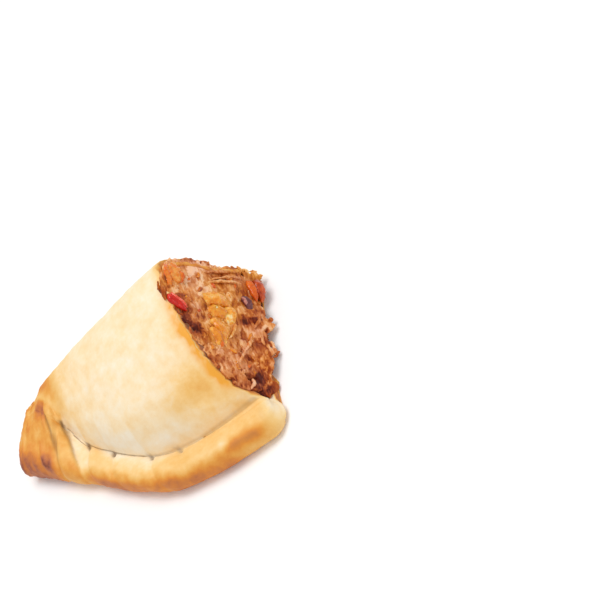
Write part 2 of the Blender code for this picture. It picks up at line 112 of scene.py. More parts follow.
FOLD_SOFTENS_BY = 0.4
FOLD_UNDERCUT = 0.35
HOLLOW_START = 1.0 * MM
HOLLOW_END = 0.84
HOLLOW_BULGE = 4 * MM
HOLLOW_CORNER = 1.2 * MM
STATIONS = 250
HOLLOW_STATIONS = 30
TIP_RINGS = 14
HOLLOW_RINGS = 5
CUT_RINGS = 10
CRIMP_PLACES = 74
DOME_PLACES = 163
PART_POINTS = (CRIMP_PLACES, DOME_PLACES - CRIMP_PLACES + 1, 10, 26)


def spline(points, t):
    """Point t spans along a smooth curve through all but the first and last point."""
    points = np.asarray(points, float)
    t = np.atleast_1d(np.asarray(t, float))
    span = np.clip(t.astype(int), 0, len(points) - 4)
    local = (t - span)[:, None]
    a, b, c, d = (points[span + k] for k in range(4))
    bend = 2 * a - 5 * b + 4 * c - d
    twist = 3 * b - a - 3 * c + d
    return b + ((c - a) * local + bend * local**2 + twist * local**3) / 2


def lengths_along(points):
    """Length of an outline up to each of its points."""
    return np.concatenate([[0], np.cumsum(np.linalg.norm(np.diff(points, axis=0), axis=1))])


RIM_POINTS = spline(RIM_PLAN, np.linspace(0, len(RIM_PLAN) - 3, 600)) * MM
RIM_LENGTHS = lengths_along(RIM_POINTS)
RIM_LENGTH = RIM_LENGTHS[-1]
RIM_SHARES = RIM_LENGTHS / RIM_LENGTH


def smoothstep(low, high, value):
    """Smooth rise from 0 at low to 1 at high."""
    t = np.clip((value - low) / (high - low), 0, 1)
    return t * t * (3 - 2 * t)


def bell(distance):
    """Soft spot: 1 at its centre, fading to 0."""
    return np.exp(-distance**2)


def among_pleats(share, place):
    """Where a place on the crimp lies among the pleats, whose seams lean towards the cut."""
    lean = 1 - np.clip(place / CRIMP_PLACES, 0, 1)
    along = share + (SEAM_SLANT + SEAM_SLANT_AT_TIP * share**3) * lean
    start = STRIP_FROM + (SEAM_SLANT + SEAM_SLANT_AT_TIP * STRIP_FROM**3) * lean
    near = np.interp(place, STRIP_PLACES, STRIP_NEAR)
    far = np.interp(place, STRIP_PLACES, STRIP_FAR)
    first, last = PLEAT_SEAMS[5:7]
    before = start + (first - start) * (share - STRIP_FROM) / (near - STRIP_FROM)
    across = first + (last - first) * (share - near) / (far - near)
    along = np.where(share > STRIP_FROM, before, along)
    along = np.where(share > near, across, along)
    return np.where(share > far, last + share - far, along)


def pleat_height(share, inward):
    """Height of the pleats over the plain rope of the crimp, negative in a seam."""
    along = among_pleats(share, np.interp(inward, PLACE_INWARD, PLACE_NUMBER))
    height = np.zeros_like(along)
    for low, high, rise in zip(PLEAT_SEAMS, PLEAT_SEAMS[1:], PLEAT_RISES):
        edge = np.abs(2 * (along - low) / (high - low) - 1)
        within = (along >= low) & (along < high)
        height = np.where(within, rise * (1 - edge**4), height)
    for seam in PLEAT_SEAMS[1:-1]:
        height -= SEAM_DEPTH * smoothstep(0.55, 1.0, inward) * bell((along - seam) / SEAM_WIDTH)
    return height


def cut_x(y, z):
    """Middle surface of the slanted cut; the crimp's end reaches out a little."""
    slanted = -math.tan(CUT_SLANT) * z + math.tan(CUT_SKEW) * (y + WIDTH / 2)
    return slanted + CRIMP_END_REACH * smoothstep(*CRIMP_END_OVER, y)


def arch(low, start, end, top, fold_height, fullness, steps_up, steps_down):
    """Dome between crimp and fold: two quarter superellipses."""
    crest = start + (end - start) * DOME_TOP_AT
    angle = np.linspace(0, math.pi / 2, steps_up + 1)[1:]
    power = 2 / CRIMP_SIDE_FULLNESS
    run = 1 - np.clip(np.cos(angle), 0, 1) ** power
    rising = np.stack([start + (crest - start) * run, low + (top - low) * np.sin(angle) ** power], 1)
    angle = np.linspace(0, math.pi / 2, steps_down + 1)[1:]
    power = 2 / fullness
    drop = np.clip(np.cos(angle), 0, 1) ** power
    falling = np.stack([crest + (end - crest) * np.sin(angle) ** power,
                        fold_height + (top - fold_height) * drop], 1)
    return np.concatenate([rising, falling])


def spread_evenly(outline, count):
    """Points set evenly along an open outline, the ends kept."""
    lengths = lengths_along(outline)
    places = np.linspace(0, lengths[-1], count)
    return np.stack([np.interp(places, lengths, outline[:, k]) for k in range(outline.shape[1])], 1)


def closed_outline(*parts):
    """Section from crimp, dome, fold and base, each with its own number of points."""
    outlines = [parts[0]]
    for part in parts[1:]:
        outlines.append(np.concatenate([outlines[-1][-1:], part]))
    outlines[-1] = np.concatenate([outlines[-1], parts[0][:1]])
    crimp, *others = [spread_evenly(part, count) for part, count in zip(outlines, PART_POINTS)]
    return np.concatenate([crimp] + [part[1:] for part in others])[:-1]


def section_sizes(share):
    """Sizes of the section at a share of the way from the cut to the tip."""
    rim = np.array([np.interp(share, RIM_SHARES, RIM_POINTS[:, k]) for k in range(2)])
    fold_x = -(HALF_LENGTH - FOLD_END_INSET) * share
    across = np.array([fold_x, -FOLD_BOW * (fold_x / HALF_LENGTH) ** 2]) - rim
    reach = np.linalg.norm(across)
    spread = CRIMP_SPREAD * smoothstep(*CRIMP_SPREAD_OVER, share)
    soft = min(1.0, share / FOLD_SOFTENS_BY)
    top = TIP_HEIGHT + (HEIGHT - TIP_HEIGHT) * max(0.0, 1 - share**RIDGE_FALL[0]) ** RIDGE_FALL[1]
    fold_share = FOLD_HEIGHT_SHARE[0] * (1 - soft) + FOLD_HEIGHT_SHARE[1] * soft
    return SimpleNamespace(
        share=share, rim=rim, across=across / reach, reach=reach, top=top,
        crimp_width=min(CRIMP_WIDTH * (1 + spread), CRIMP_MOST_SHARE * reach),
        crimp_height=CRIMP_THICKNESS + CRIMP_THICKENS * spread,
        fullness=FOLD_SIDE_FULLNESS[0] * (1 - soft) + FOLD_SIDE_FULLNESS[1] * soft,
        fold_height=top * fold_share,
    )


def bridge(crimp, dome, merge):
    """Raise what lies between the rope's crown and the dome's, so that they flow together."""
    near = crimp[crimp[:, 1].argmax()]
    far = dome[dome[:, 1].argmax()]
    bridged = []
    for part in (crimp, dome):
        t = (part[:, 0] - near[0]) / max(far[0] - near[0], 1e-6)
        line = near[1] + (far[1] - near[1]) * t + BRIDGE_RISE * np.sin(math.pi * np.clip(t, 0, 1))
        raised = np.where((t > 0) & (t < 1), np.maximum(part[:, 1], line), part[:, 1])
        bridged.append(np.stack([part[:, 0], part[:, 1] + merge * (raised - part[:, 1])], 1))
    return bridged


def outer_section(s):
    """Outline of the crust at a station: crimp, groove, dome, fold and base."""
    rope = spline(CRIMP_SECTION, np.linspace(0, len(CRIMP_SECTION) - 3, 90))
    inward, up = rope[:, 0], rope[:, 1]
    height = pleat_height(np.full_like(inward, s.share), inward)
    lift = height * np.clip(up * 1.2, 0, 1)
    swell = 0.5 * np.maximum(height, 0) * np.clip(1 - 3 * inward, 0, 1)
    crimp = np.stack([inward * s.crimp_width - swell, up * s.crimp_height + lift], 1)
    fade = smoothstep(GROOVE_FADE_FROM, 1.0, s.share)
    depth = GROOVE_DEPTH * (GROOVE_AT_CUT + (1 - GROOVE_AT_CUT) * smoothstep(0, 0.25, s.share))
    low = s.crimp_height - 0.06 * s.crimp_height - depth * (1 - fade)
    notch = 0.8 * max(0.0, 0.3 * MM - pleat_height(np.array([s.share]), 1.0)[0])
    groove = np.array([[s.crimp_width - notch, low]])
    dome = arch(low, s.crimp_width, s.reach, s.top, s.fold_height, s.fullness, 90, 60)
    merge = smoothstep(*TIP_MERGES_OVER, s.share)
    crimp, dome = bridge(crimp, dome, merge)
    groove[0, 1] += merge * max(0.0, min(crimp[-1, 1], dome[0, 1]) - groove[0, 1])
    angle = np.linspace(0, math.pi / 2, 10)[1:]
    inset = FOLD_UNDERCUT * s.fold_height * (1 - np.cos(angle))
    under = np.stack([s.reach - inset, s.fold_height * (1 - np.sin(angle))], 1)
    base = np.array([[0.62 * s.reach, 0.0], [0.45 * s.reach + 0.1 * s.crimp_width, 0.0]])
    return closed_outline(np.concatenate([crimp, groove]), dome, under, base)


def inner_section(s, gap):
    """Outline of the space inside the crust, point for point with the outer one."""
    start = s.crimp_width + HOLLOW_START + gap
    floor = WALL + gap
    end = s.reach - WALL - gap
    fold_height = max(s.fold_height, floor + 1.5 * MM)
    corner = np.array([[start + 1.5 * MM, floor], [start, floor + HOLLOW_CORNER]])
    dome = arch(floor + HOLLOW_CORNER, start, end, s.top - WALL - gap, fold_height, s.fullness, 80, 50)
    angle = np.linspace(0, math.pi / 2, 8)[1:]
    drop = fold_height - floor
    under = np.stack([end - FOLD_UNDERCUT * drop * (1 - np.cos(angle)),
                      fold_height - drop * np.sin(angle)], 1)
    return closed_outline(corner, dome, under, np.empty((0, 2)))


def round_crimp_end(s, outline):
    """Draw the rope's outline in near the cut, so that its end is rounded."""
    t = np.clip(1 - s.share * RIM_LENGTH / CRIMP_END_ROUND, 0, 1)
    middle = np.array([0.62 * s.crimp_width, 0.45 * s.crimp_height])
    inward = outline[:, :1] / s.crimp_width
    keep = 1 - CRIMP_END_DRAW * (1 - math.sqrt(1 - t * t)) * (1 - smoothstep(0.4, 1.0, inward))
    return middle + (outline - middle) * keep


def set_in_space(s, outline):
    """Section's outline in space; the sections lean with the cut and straighten to the tip."""
    plan = s.rim + s.across * outline[:, :1]
    lean = (1 - s.share) * cut_x(plan[:, 1], outline[:, 1])
    return np.stack([plan[:, 0] + lean, plan[:, 1], outline[:, 1]], 1)


def rounded_end(ring, across, bulge, steps):
    """Rings that close a loft in a rounded end."""
    outward = np.array([-across[1], across[0], 0.0])
    middle = ring.mean(0)
    angles = [math.radians(86) * i / steps for i in range(1, steps + 1)]
    return [middle + (ring - middle) * math.cos(a) + outward * bulge * math.sin(a) for a in angles]


def hollow_rings(gap):
    """Rings of the space inside the crust, or of what fills it with a gap all round."""
    rings = [set_in_space(s, inner_section(s, gap)) for s in hollow_sizes]
    return rings + rounded_end(rings[-1], hollow_sizes[-1].across, HOLLOW_BULGE - gap, HOLLOW_RINGS)


def grain(points, size, seed):
    """Soft noise of about -1 to 1 at points, with lumps of the given size."""
    offset = Vector((seed * 7.3, seed * 3.1, seed * 5.7))
    return np.array([noise.fractal(Vector(p) / size + offset, 0.9, 2.1, 3) for p in points])


def grid_normals(rings):
    """Outward unit normals of a loft's rings, from the slopes along and around it."""
    grid = np.stack(rings)
    along = np.gradient(grid, axis=0)
    around = np.roll(grid, -1, axis=1) - np.roll(grid, 1, axis=1)
    normal = np.cross(around, along)
    return normal / np.maximum(np.linalg.norm(normal, axis=2, keepdims=True), 1e-12)


crust_sizes = [section_sizes(share) for share in np.linspace(0, 1, STATIONS + 1)]
outer_rings = [set_in_space(s, round_crimp_end(s, outer_section(s))) for s in crust_sizes]
ring_places = np.arange(len(outer_rings[0]))
on_merge = smoothstep(*MERGE_PLACES[:2], ring_places), smoothstep(*MERGE_PLACES[:1:-1], ring_places)
for s, ring in zip(crust_sizes, outer_rings):
    merge = (smoothstep(*TIP_MERGES_OVER, s.share) * on_merge[0] * on_merge[1])[:, None]
    for _ in range(MERGE_ROUNDS):
        ring += merge * 0.25 * (np.roll(ring, 1, axis=0) + np.roll(ring, -1, axis=0) - 2 * ring)
outer_rings += rounded_end(outer_rings[-1], crust_sizes[-1].across, TIP_BULGE, TIP_RINGS)
hollow_sizes = [section_sizes(share) for share in np.linspace(0, HOLLOW_END, HOLLOW_STATIONS + 1)]
inner_rings = hollow_rings(0.0)

# The loft's own frame has the cut at x = 0 and the fold at y = 0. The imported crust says
# where the part's frame lies in it.
cad_low, cad_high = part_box("crust")
loft_points = np.concatenate(outer_rings)
TO_PART = np.array([
    cad_low.x - loft_points[:, 0].min(),
    cad_high.y - loft_points[:, 1].max(),
    0.0,
])

# The torn edge: ragged, and set back from the filling at the crown, the fold and the base
CUT_RAGGED = 0.8 * MM
RAGGED_REACH = 5 * MM
SET_BACK = 2.5 * MM
SET_BACK_REACH = 9 * MM
SET_BACK_FROM = (-13 * MM, -5 * MM)
SET_BACK_BASE = (4 * MM, 1.5 * MM)
SET_BACK_BASE_FROM = (-44 * MM, -34 * MM)
DIP_PLACE = 150.5
DIP_REACH = 5.5
DIP_DEPTH = 1.4 * MM
on_crimp = smoothstep(CRIMP_PLACES + 6, CRIMP_PLACES - 4, ring_places)
fold_dip = bell((ring_places - DIP_PLACE) / DIP_REACH)


def torn(points):
    """How far the torn edge stands off the middle surface of the cut."""
    broad = grain(points * [0, 1, 1], 9 * MM, seed=1)
    fine = grain(points * [0, 1, 1], 2.2 * MM, seed=2)
    return CUT_RAGGED * (0.8 * broad * (1 - 0.5 * on_crimp) + 0.9 * fine * (1 - 0.95 * on_crimp))


def set_back(points):
    """How far the crust is torn back from the filling: at the crown, the fold and the base."""
    far = smoothstep(*SET_BACK_FROM, points[:, 1])
    below = smoothstep(*SET_BACK_BASE, points[:, 2]) * smoothstep(*SET_BACK_BASE_FROM, points[:, 1])
    return SET_BACK * np.maximum(far, below)


edge_offset = torn(outer_rings[0])
edge_set_back = set_back(outer_rings[0]) + DIP_DEPTH * fold_dip
for s, ring in zip(crust_sizes[:STATIONS], outer_rings):
    behind = s.share * RIM_LENGTH
    ring[:, 0] += edge_offset * (1 - smoothstep(0, RAGGED_REACH, behind))
    ring[:, 0] -= edge_set_back * (1 - smoothstep(0, SET_BACK_REACH, behind))
inner_rings[0][:, 0] += torn(inner_rings[0]) - set_back(inner_rings[0]) - DIP_DEPTH * fold_dip

# Relief of the skin: fine pleats across the tip, the flap's step, blisters and ripples
STREAKS_OVER = (0.78, 0.86)
STREAKS_REACH_DOME = (0.95, 0.99)
STREAK_HEIGHT = 0.40 * MM
FLAP_RISE = 0.45 * MM
FLAP_OVER = (0.804, 0.816, 0.866, 0.886)
FLAP_PLACES = (66, 72, 82, 88)
TIP_TUCK = 0.5 * MM
TUCK_FROM = 0.93
TUCK_PLACES = (22, 34, 116, 126)
SHOULDER_TUCK = 0.7 * MM
SHOULDER_PLACE = 108
SHOULDER_REACH = 9
BLISTER_HEIGHT = 0.30 * MM
RIPPLE_HEIGHT = 0.10 * MM
outer_share = np.array([s.share for s in crust_sizes] + [1.0] * TIP_RINGS)


def streaks(share, step):
    """Lines that run across the crimp, in step with its pleats."""
    slant = (SEAM_SLANT + SEAM_SLANT_AT_TIP) * (1 - np.clip(ring_places / CRIMP_PLACES, 0, 1))
    along = share + 0.01 * step + slant
    return np.array([noise.fractal(Vector((a * 34, p / 17, 3)), 0.8, 2.0, 3)
                     for a, p in zip(along, ring_places)])


on_tip = smoothstep(CRIMP_PLACES + 24, CRIMP_PLACES + 4, ring_places)
streak_rows = []
for index, share in enumerate(outer_share):
    reach = on_tip + (1 - on_tip) * smoothstep(*STREAKS_REACH_DOME, share)
    row = streaks(share, max(0, index - STATIONS)) if share > STREAKS_OVER[0] else 0.0
    streak_rows.append(row * (smoothstep(*STREAKS_OVER, share) * reach))
streak_grid = np.stack(streak_rows)
flap_along = among_pleats(outer_share[:, None], ring_places[None, :])
flap = smoothstep(*FLAP_OVER[:2], flap_along) * smoothstep(*FLAP_OVER[:1:-1], flap_along)
flap = flap * smoothstep(*FLAP_PLACES[:2], ring_places) * smoothstep(*FLAP_PLACES[:1:-1], ring_places)
tuck = TIP_TUCK + SHOULDER_TUCK * bell((ring_places - SHOULDER_PLACE) / SHOULDER_REACH)
tuck = tuck * smoothstep(*TUCK_PLACES[:2], ring_places) * smoothstep(*TUCK_PLACES[:1:-1], ring_places)
normals = grid_normals(outer_rings)
for ring, normal, streak, raised, share in zip(outer_rings, normals, streak_grid, flap, outer_share):
    clear = smoothstep(0.3 * MM, 2 * MM, ring[:, 2:])
    ring += normal * (streak[:, None] * STREAK_HEIGHT + raised[:, None] * FLAP_RISE) * clear
    ring -= normal * (tuck * smoothstep(TUCK_FROM, 1.0, share))[:, None] * clear
    blister = grain(ring, 11 * MM, seed=3)[:, None] * BLISTER_HEIGHT
    ripple = grain(ring, 3.2 * MM, seed=4)[:, None] * RIPPLE_HEIGHT
    ring += normal * (blister + ripple) * clear

# The cut edge itself, from the outside to the hollow: crumbly, and swollen at the crimp's end
CRUMB_SIZE = 0.9 * MM
CRUMB_HEIGHT = 0.35 * MM
END_SWELL = 1.5 * MM
END_SWELL_REACH = 0.8
END_LUMP_SIZE = 3.5 * MM
END_LUMP_HEIGHT = 0.35 * MM
cut_rings = []
for step in range(1, CUT_RINGS):
    t = step / CUT_RINGS
    ring = outer_rings[0] * (1 - t) + inner_rings[0] * t
    crumb = grain(ring, CRUMB_SIZE, seed=5) * (1 - on_crimp) * CRUMB_HEIGHT
    bulge = 0.0
    if t < END_SWELL_REACH:
        bulge = END_SWELL * math.sin(math.pi * min(1.0, t / END_SWELL_REACH)) ** 0.7
    uneven = END_LUMP_HEIGHT * grain(ring, END_LUMP_SIZE, seed=9) * (1 - t)
    ring[:, 0] += crumb + on_crimp * (bulge + uneven)
    cut_rings.append(ring)


def ring_faces(rings, count):
    """Quads between closed rings whose points are numbered ring by ring."""
    faces = []
    for low in range(0, (rings - 1) * count, count):
        for j in range(count):
            k = (j + 1) % count
            faces.append((low + j, low + k, low + count + k, low + count + j))
    return faces


def closed_loft(name, rings):
    """Smooth closed mesh, in the part's frame, through rings in the loft's frame."""
    rings = [ring + TO_PART for ring in rings]
    count = len(rings[0])
    last = len(rings) * count
    faces = ring_faces(len(rings), count)
    for j in range(count):
        k = (j + 1) % count
        faces.append((last, k, j))
        faces.append((last + 1, last - count + j, last - count + k))
    points = np.concatenate(rings + [[rings[0].mean(0), rings[-1].mean(0)]])
    mesh = bpy.data.meshes.new(name)
    mesh.from_pydata(points.tolist(), [], faces)
    shape = bmesh.new()
    shape.from_mesh(mesh)
    bmesh.ops.recalc_face_normals(shape, faces=shape.faces)
    shape.to_mesh(mesh)
    shape.free()
    mesh.shade_smooth()
    return mesh


def new_object(name, data):
    """Object of the scene, at the origin, for a mesh, lamp or camera."""
    made = bpy.data.objects.new(name, data)
    bpy.context.scene.collection.objects.link(made)
    return made


def store(mesh, name, values):
    """Keep one number for each vertex of a mesh as a named attribute."""
    layer = mesh.attributes.new(name, "FLOAT", "POINT")
    layer.data.foreach_set("value", np.asarray(values, np.float32))


crust_rings = outer_rings[::-1] + cut_rings + inner_rings
crust_mesh = closed_loft("crust_baked", crust_rings)
crust = new_object("crust_baked", crust_mesh)

# Browned places: share of the way to the tip, place round the section, their reach in
# each, and how much browner they are
BROWNED = (
    (0.15, 89, 0.09, 8, 0.17), (0.06, 84, 0.06, 9, 0.10), (0.02, 108, 0.05, 12, 0.06),
    (0.98, 116, 0.17, 28, 0.52), (0.85, 106, 0.09, 14, 0.19), (0.05, 33, 0.04, 8, 0.40),
    (0.11, 37, 0.05, 8, 0.36), (0.20, 52, 0.05, 8, 0.08), (0.985, 30, 0.05, 12, 0.10),
    (0.875, 36, 0.03, 9, 0.10), (0.93, 18, 0.05, 7, 0.14), (0.22, 32, 0.07, 12, -0.07),
    (0.775, 66, 0.025, 10, -0.08), (0.42, 81, 0.4, 9, -0.15), (0.04, 100, 0.04, 16, 0.06),
    (0.0, 87, 0.014, 6, 0.22), (0.0, 142, 0.02, 20, 0.34), (0.35, 112, 0.3, 30, -0.03),
    (0.09, 88, 0.05, 7, 0.06), (0.905, 76, 0.03, 7, 0.30), (0.93, 70, 0.02, 10, 0.16),
    (0.895, 82, 0.02, 8, 0.22), (0.775, 42, 0.018, 7, 0.12), (0.62, 28, 0.12, 10, 0.08),
    (0.30, 60, 0.10, 9, 0.06), (0.30, 36, 0.12, 10, 0.10), (0.985, 40, 0.04, 12, 0.06),
    (0.58, 68, 0.08, 7, -0.22), (0.41, 67, 0.08, 8, -0.20), (0.64, 75, 0.03, 6, -0.14),
    (0.55, 44, 0.05, 6, 0.24), (0.45, 47, 0.05, 5, 0.16), (0.30, 36, 0.04, 6, -0.16),
    (0.31, 50, 0.04, 5, 0.13), (0.148, 41, 0.03, 7, -0.24),
)
OILY_PATCH = (0.075, 35, 0.06, 9, 0.4)
PLAIN_BAKE = 0.155
BAKE_MOTTLE = 0.05
CRIMP_BAKE = 0.08
UNDERSIDE_BAKE = 0.40
# The crimp's browned lower band: how brown, and where it is paler, from a share to another
BAND_BAKE = 0.50
BAND_TOP_PLACES = (24, 47)
BAND_TOP_WANDERS = 4
BAND_PALER = ((0.45, 0.62, 0.04), (0.19, 0.06, 0.40), (0.88, 0.93, 0.08))
STRIP_PALER = 0.24
STRIP_PALER_OVER = (0.70, 0.76, 0.84, 0.88)
PLEAT_BAKES = (0.11, 0.11, 0.02, 0.09, -0.05, 0.26, 0.36)
PLEAT_EDGE = 0.006
# Painted shade in the pleats' seams: how dark, how far up the crimp, how wide and how it flares
PLEAT_SEAM_SHADES = (0.6, 0.8, 0.95, 1.0, 0.55, 0.6)
SEAM_SHADE_PLACES = (7, 9, 11, 13, 40, 50)
SEAM_SHADE_WIDTH = 0.0028
SEAM_SHADE_FLARE = 0.009
# Painted shade along the groove: its place round the section at shares of the way to the tip
GROOVE_SHADE_LINE = (
    (0.0, 73.6), (0.70, 73.8), (0.744, 71.0), (0.772, 72.4), (0.80, 73.2), (0.816, 77), (0.822, 82),
)
GROOVE_SHADE_WIDTH = 0.75
FOOT_SHADE = 0.14
share_grid = np.repeat(outer_share[:, None], len(ring_places), 1)
place_grid = np.repeat(ring_places[None, :], len(outer_rings), 0).astype(float)
outer_grid = np.stack(outer_rings)
crimp_part = place_grid < CRIMP_PLACES
along_pleats = among_pleats(share_grid, place_grid)


def mottling(size, seed):
    """Noise of about -1 to 1 over the outside of the crust."""
    return grain(outer_grid.reshape(-1, 3), size, seed=seed).reshape(share_grid.shape)


def patch(share, place, share_reach, place_reach, amount):
    """Soft patch on the outside of the crust."""
    return amount * bell(np.hypot((share_grid - share) / share_reach, (place_grid - place) / place_reach))


bake = PLAIN_BAKE + BAKE_MOTTLE * mottling(9 * MM, 6)
band_top = place_grid - 4 * smoothstep(0.25, 0.4, share_grid) + BAND_TOP_WANDERS * mottling(7 * MM, 7)
lower_band = 1 - smoothstep(*BAND_TOP_PLACES, band_top)
band_bake = BAND_BAKE - sum(less * smoothstep(low, high, share_grid) for low, high, less in BAND_PALER)
on_strip = smoothstep(*STRIP_PALER_OVER[:2], share_grid), smoothstep(*STRIP_PALER_OVER[:1:-1], share_grid)
band_bake -= STRIP_PALER * on_strip[0] * on_strip[1]
bake += crimp_part * (CRIMP_BAKE + band_bake * lower_band)
on_pleat = smoothstep(CRIMP_PLACES + 22, CRIMP_PLACES + 12, place_grid) * (1 - 0.5 * lower_band)
for low, high, rise in zip(PLEAT_SEAMS, PLEAT_SEAMS[1:], PLEAT_BAKES):
    within = smoothstep(low - PLEAT_EDGE, low + PLEAT_EDGE, along_pleats)
    within *= smoothstep(high + PLEAT_EDGE, high - PLEAT_EDGE, along_pleats)
    bake += rise * within * on_pleat
for row in BROWNED:
    bake += patch(*row)
by_cut = smoothstep(0, 0.02, share_grid) * smoothstep(0.14, 0.03, share_grid)
bake += 0.11 * streak_grid + 0.05 * by_cut * crimp_part
underside = smoothstep(DOME_PLACES - 6, DOME_PLACES + 6, place_grid)
bake += UNDERSIDE_BAKE * underside * smoothstep(9 * MM, 1 * MM, outer_grid[:, :, 2])

# Painted shade: dark lines along the groove, the pleats' seams and the flap's edge, and a soft shade on the
# dome's foot above the groove
groove_places = np.interp(share_grid, *zip(*GROOVE_SHADE_LINE))
groove_shade = bell((place_grid - groove_places) / GROOVE_SHADE_WIDTH)
groove_shade_strength = 0.35 + 0.45 * smoothstep(0.35, 0.6, share_grid) + 0.2 * smoothstep(0.69, 0.72, share_grid)
crease_shade_and_juice = groove_shade * groove_shade_strength * smoothstep(0.828, 0.82, share_grid)
below = CRIMP_PLACES - place_grid
for seam, depth, places in zip(PLEAT_SEAMS[1:-1], PLEAT_SEAM_SHADES, SEAM_SHADE_PLACES):
    width = SEAM_SHADE_WIDTH + SEAM_SHADE_FLARE * np.clip(1 - below / places, 0, 1)
    line = bell((along_pleats - seam) / width)
    reach = smoothstep(places, 0.3 * places, below) * smoothstep(-3, 0, below)
    crease_shade_and_juice = np.maximum(crease_shade_and_juice, depth * line * reach)
flap_edge_shade = bell((flap_along - 0.806) / 0.005) * smoothstep(FLAP_PLACES[3], FLAP_PLACES[2], place_grid)
crease_shade_and_juice = np.maximum(crease_shade_and_juice, flap_edge_shade * smoothstep(CRIMP_PLACES - 2, CRIMP_PLACES, place_grid))
foot = bell((place_grid - CRIMP_PLACES - 9) / 8) * smoothstep(0.1, 0.25, share_grid)
crease_shade_and_juice = np.maximum(crease_shade_and_juice, FOOT_SHADE * foot * smoothstep(0.75, 0.6, share_grid))

# Oil that has soaked into the dome's edge: spots (across, up), radius and amount
OIL_REACH = 4.8 * MM
OIL_SPOTS = ((-30, 25, 4.5, 1.3), (-41, 17, 5, 1.5), (-36, 22, 4, 0.35), (-25, 28, 3, 0.4))
oil = np.zeros_like(bake)
for y, z, radius, amount in OIL_SPOTS:
    distance = np.hypot(outer_grid[:, :, 1] - y * MM, outer_grid[:, :, 2] - z * MM)
    oil = np.maximum(oil, amount * bell(distance / (radius * MM)))
soak = np.clip(1 + 0.8 * mottling(2.5 * MM, 8), 0, 2)
dome_side = smoothstep(CRIMP_PLACES, CRIMP_PLACES + 12, place_grid) * smoothstep(130, 112, place_grid)
oil = (oil + 0.6) * dome_side * smoothstep(OIL_REACH, 0.2 * MM, share_grid * RIM_LENGTH) * soak
oil += 0.15 * crimp_part * smoothstep(0.05, 0.0, share_grid) * smoothstep(20, 50, place_grid)
oil += patch(*OILY_PATCH)


def whole_crust(outside, rest):
    """Values for all rings: those of the outside, and one row again and again for the rest."""
    return np.concatenate([outside[::-1], np.tile(rest, (len(crust_rings) - len(outer_rings), 1))])


# The cut edge of the crust: stained by oil, and dark on the dome's side with juice and
# with painted shade where the mince laps over it; browned on the fold's side, plain at
# the end of the crimp.
EDGE_BAKE_AND_SHADE = 0.98
edge_paler = 0.14 * smoothstep(126, 150, ring_places) + 0.3 * bell((ring_places - 131) / 9)
edge_bake_and_shade = 0.06 * on_crimp + (1 - on_crimp) * (EDGE_BAKE_AND_SHADE - edge_paler)
edge_noise = grain(outer_rings[0], 1.6 * MM, seed=11)
bake_all = whole_crust(bake, edge_bake_and_shade + 0.10 * edge_noise)
for step in range(1, CUT_RINGS):
    fade = smoothstep(0, 0.45, step / CUT_RINGS)
    bake_all[len(outer_rings) + step - 1] += (bake[0] - bake_all[-1]) * (1 - fade)
juice_and_shade = smoothstep(CRIMP_PLACES + 2, CRIMP_PLACES + 8, ring_places) * smoothstep(168, 158, ring_places)
edge_oil = smoothstep(CRIMP_PLACES, CRIMP_PLACES + 12, ring_places) * smoothstep(150, 130, ring_places)
crumb_all = whole_crust(np.zeros_like(bake), on_crimp)
crumb_all[len(outer_rings) - 1] = 0.5 * on_crimp
for name, values in (
    ("bake", bake_all),
    ("crease_shade_and_juice", whole_crust(crease_shade_and_juice, juice_and_shade * np.clip(0.06 + 0.4 * edge_noise, 0, 0.4))),
    ("crumb", crumb_all),
    ("oil", whole_crust(oil, 0.08 * edge_oil)),
):
    store(crust_mesh, name, np.concatenate([values.ravel(), [values[0].mean(), values[-1].mean()]]))


def linear(code):
    """Linear colour of an sRGB hex code."""
    parts = [int(code[i:i + 2], 16) / 255 for i in (0, 2, 4)]
    return (*[p / 12.92 if p <= 0.04045 else ((p + 0.055) / 1.055) ** 2.4 for p in parts], 1.0)


def plug(tree, socket, value):
    """Set a socket to a value, or link it to a socket or to a node's first output in use."""
    if isinstance(value, bpy.types.Node):
        value = next(output for output in value.outputs if output.enabled)
    if isinstance(value, bpy.types.NodeSocket):
        tree.links.new(value, socket)
    else:
        socket.default_value = value


def add_node(tree, kind, inputs=(), stops=(), **settings):
    """Add a node with its properties, its sockets' values or links, and its colour stops."""
    node = tree.nodes.new(kind)
    for name, value in settings.items():
        setattr(node, name, value)
    for name, value in dict(inputs).items():
        plug(tree, node.inputs[name], value)
    for index, (position, code) in enumerate(stops):
        ramp = node.color_ramp.elements
        stop = ramp[index] if index < 2 else ramp.new(position)
        stop.position = position
        stop.color = linear(code)
    return node


def new_material(name, layers=(), **finish):
    """Material with its tree, shader, object coordinates and the mesh's named layers."""
    material = bpy.data.materials.new(name)
    material.use_nodes = True
    tree = material.node_tree
    shader = tree.nodes["Principled BSDF"]
    for label, value in finish.items():
        shader.inputs[label.replace("_", " ")].default_value = value
    place = add_node(tree, "ShaderNodeTexCoord").outputs["Object"]
    named = [add_node(tree, "ShaderNodeAttribute", attribute_name=layer) for layer in layers]
    return material, tree, shader, place, [node.outputs["Fac"] for node in named]


def mottle(tree, place, size, low, high, detail=4.0, roughness=0.62):
    """Noise with spots of a size, spread between low and high."""
    spots = add_node(tree, "ShaderNodeTexNoise", {
        "Vector": place, "Scale": 1 / size, "Detail": detail, "Roughness": roughness})
    return add_node(tree, "ShaderNodeMapRange", {
        "Value": spots, "From Min": 0.3, "From Max": 0.7, "To Min": low, "To Max": high})


def finish_surface(tree, shader, colour, place, size, detail, strength, height):
    """Give the shader its colour and its fine grain, of a size and a height."""
    fine = add_node(tree, "ShaderNodeTexNoise", {
        "Vector": place, "Scale": 1 / size, "Detail": detail, "Roughness": 0.6})
    bump = add_node(tree, "ShaderNodeBump", {"Height": fine, "Strength": strength, "Distance": height})
    plug(tree, shader.inputs["Base Color"], colour)
    plug(tree, shader.inputs["Normal"], bump)


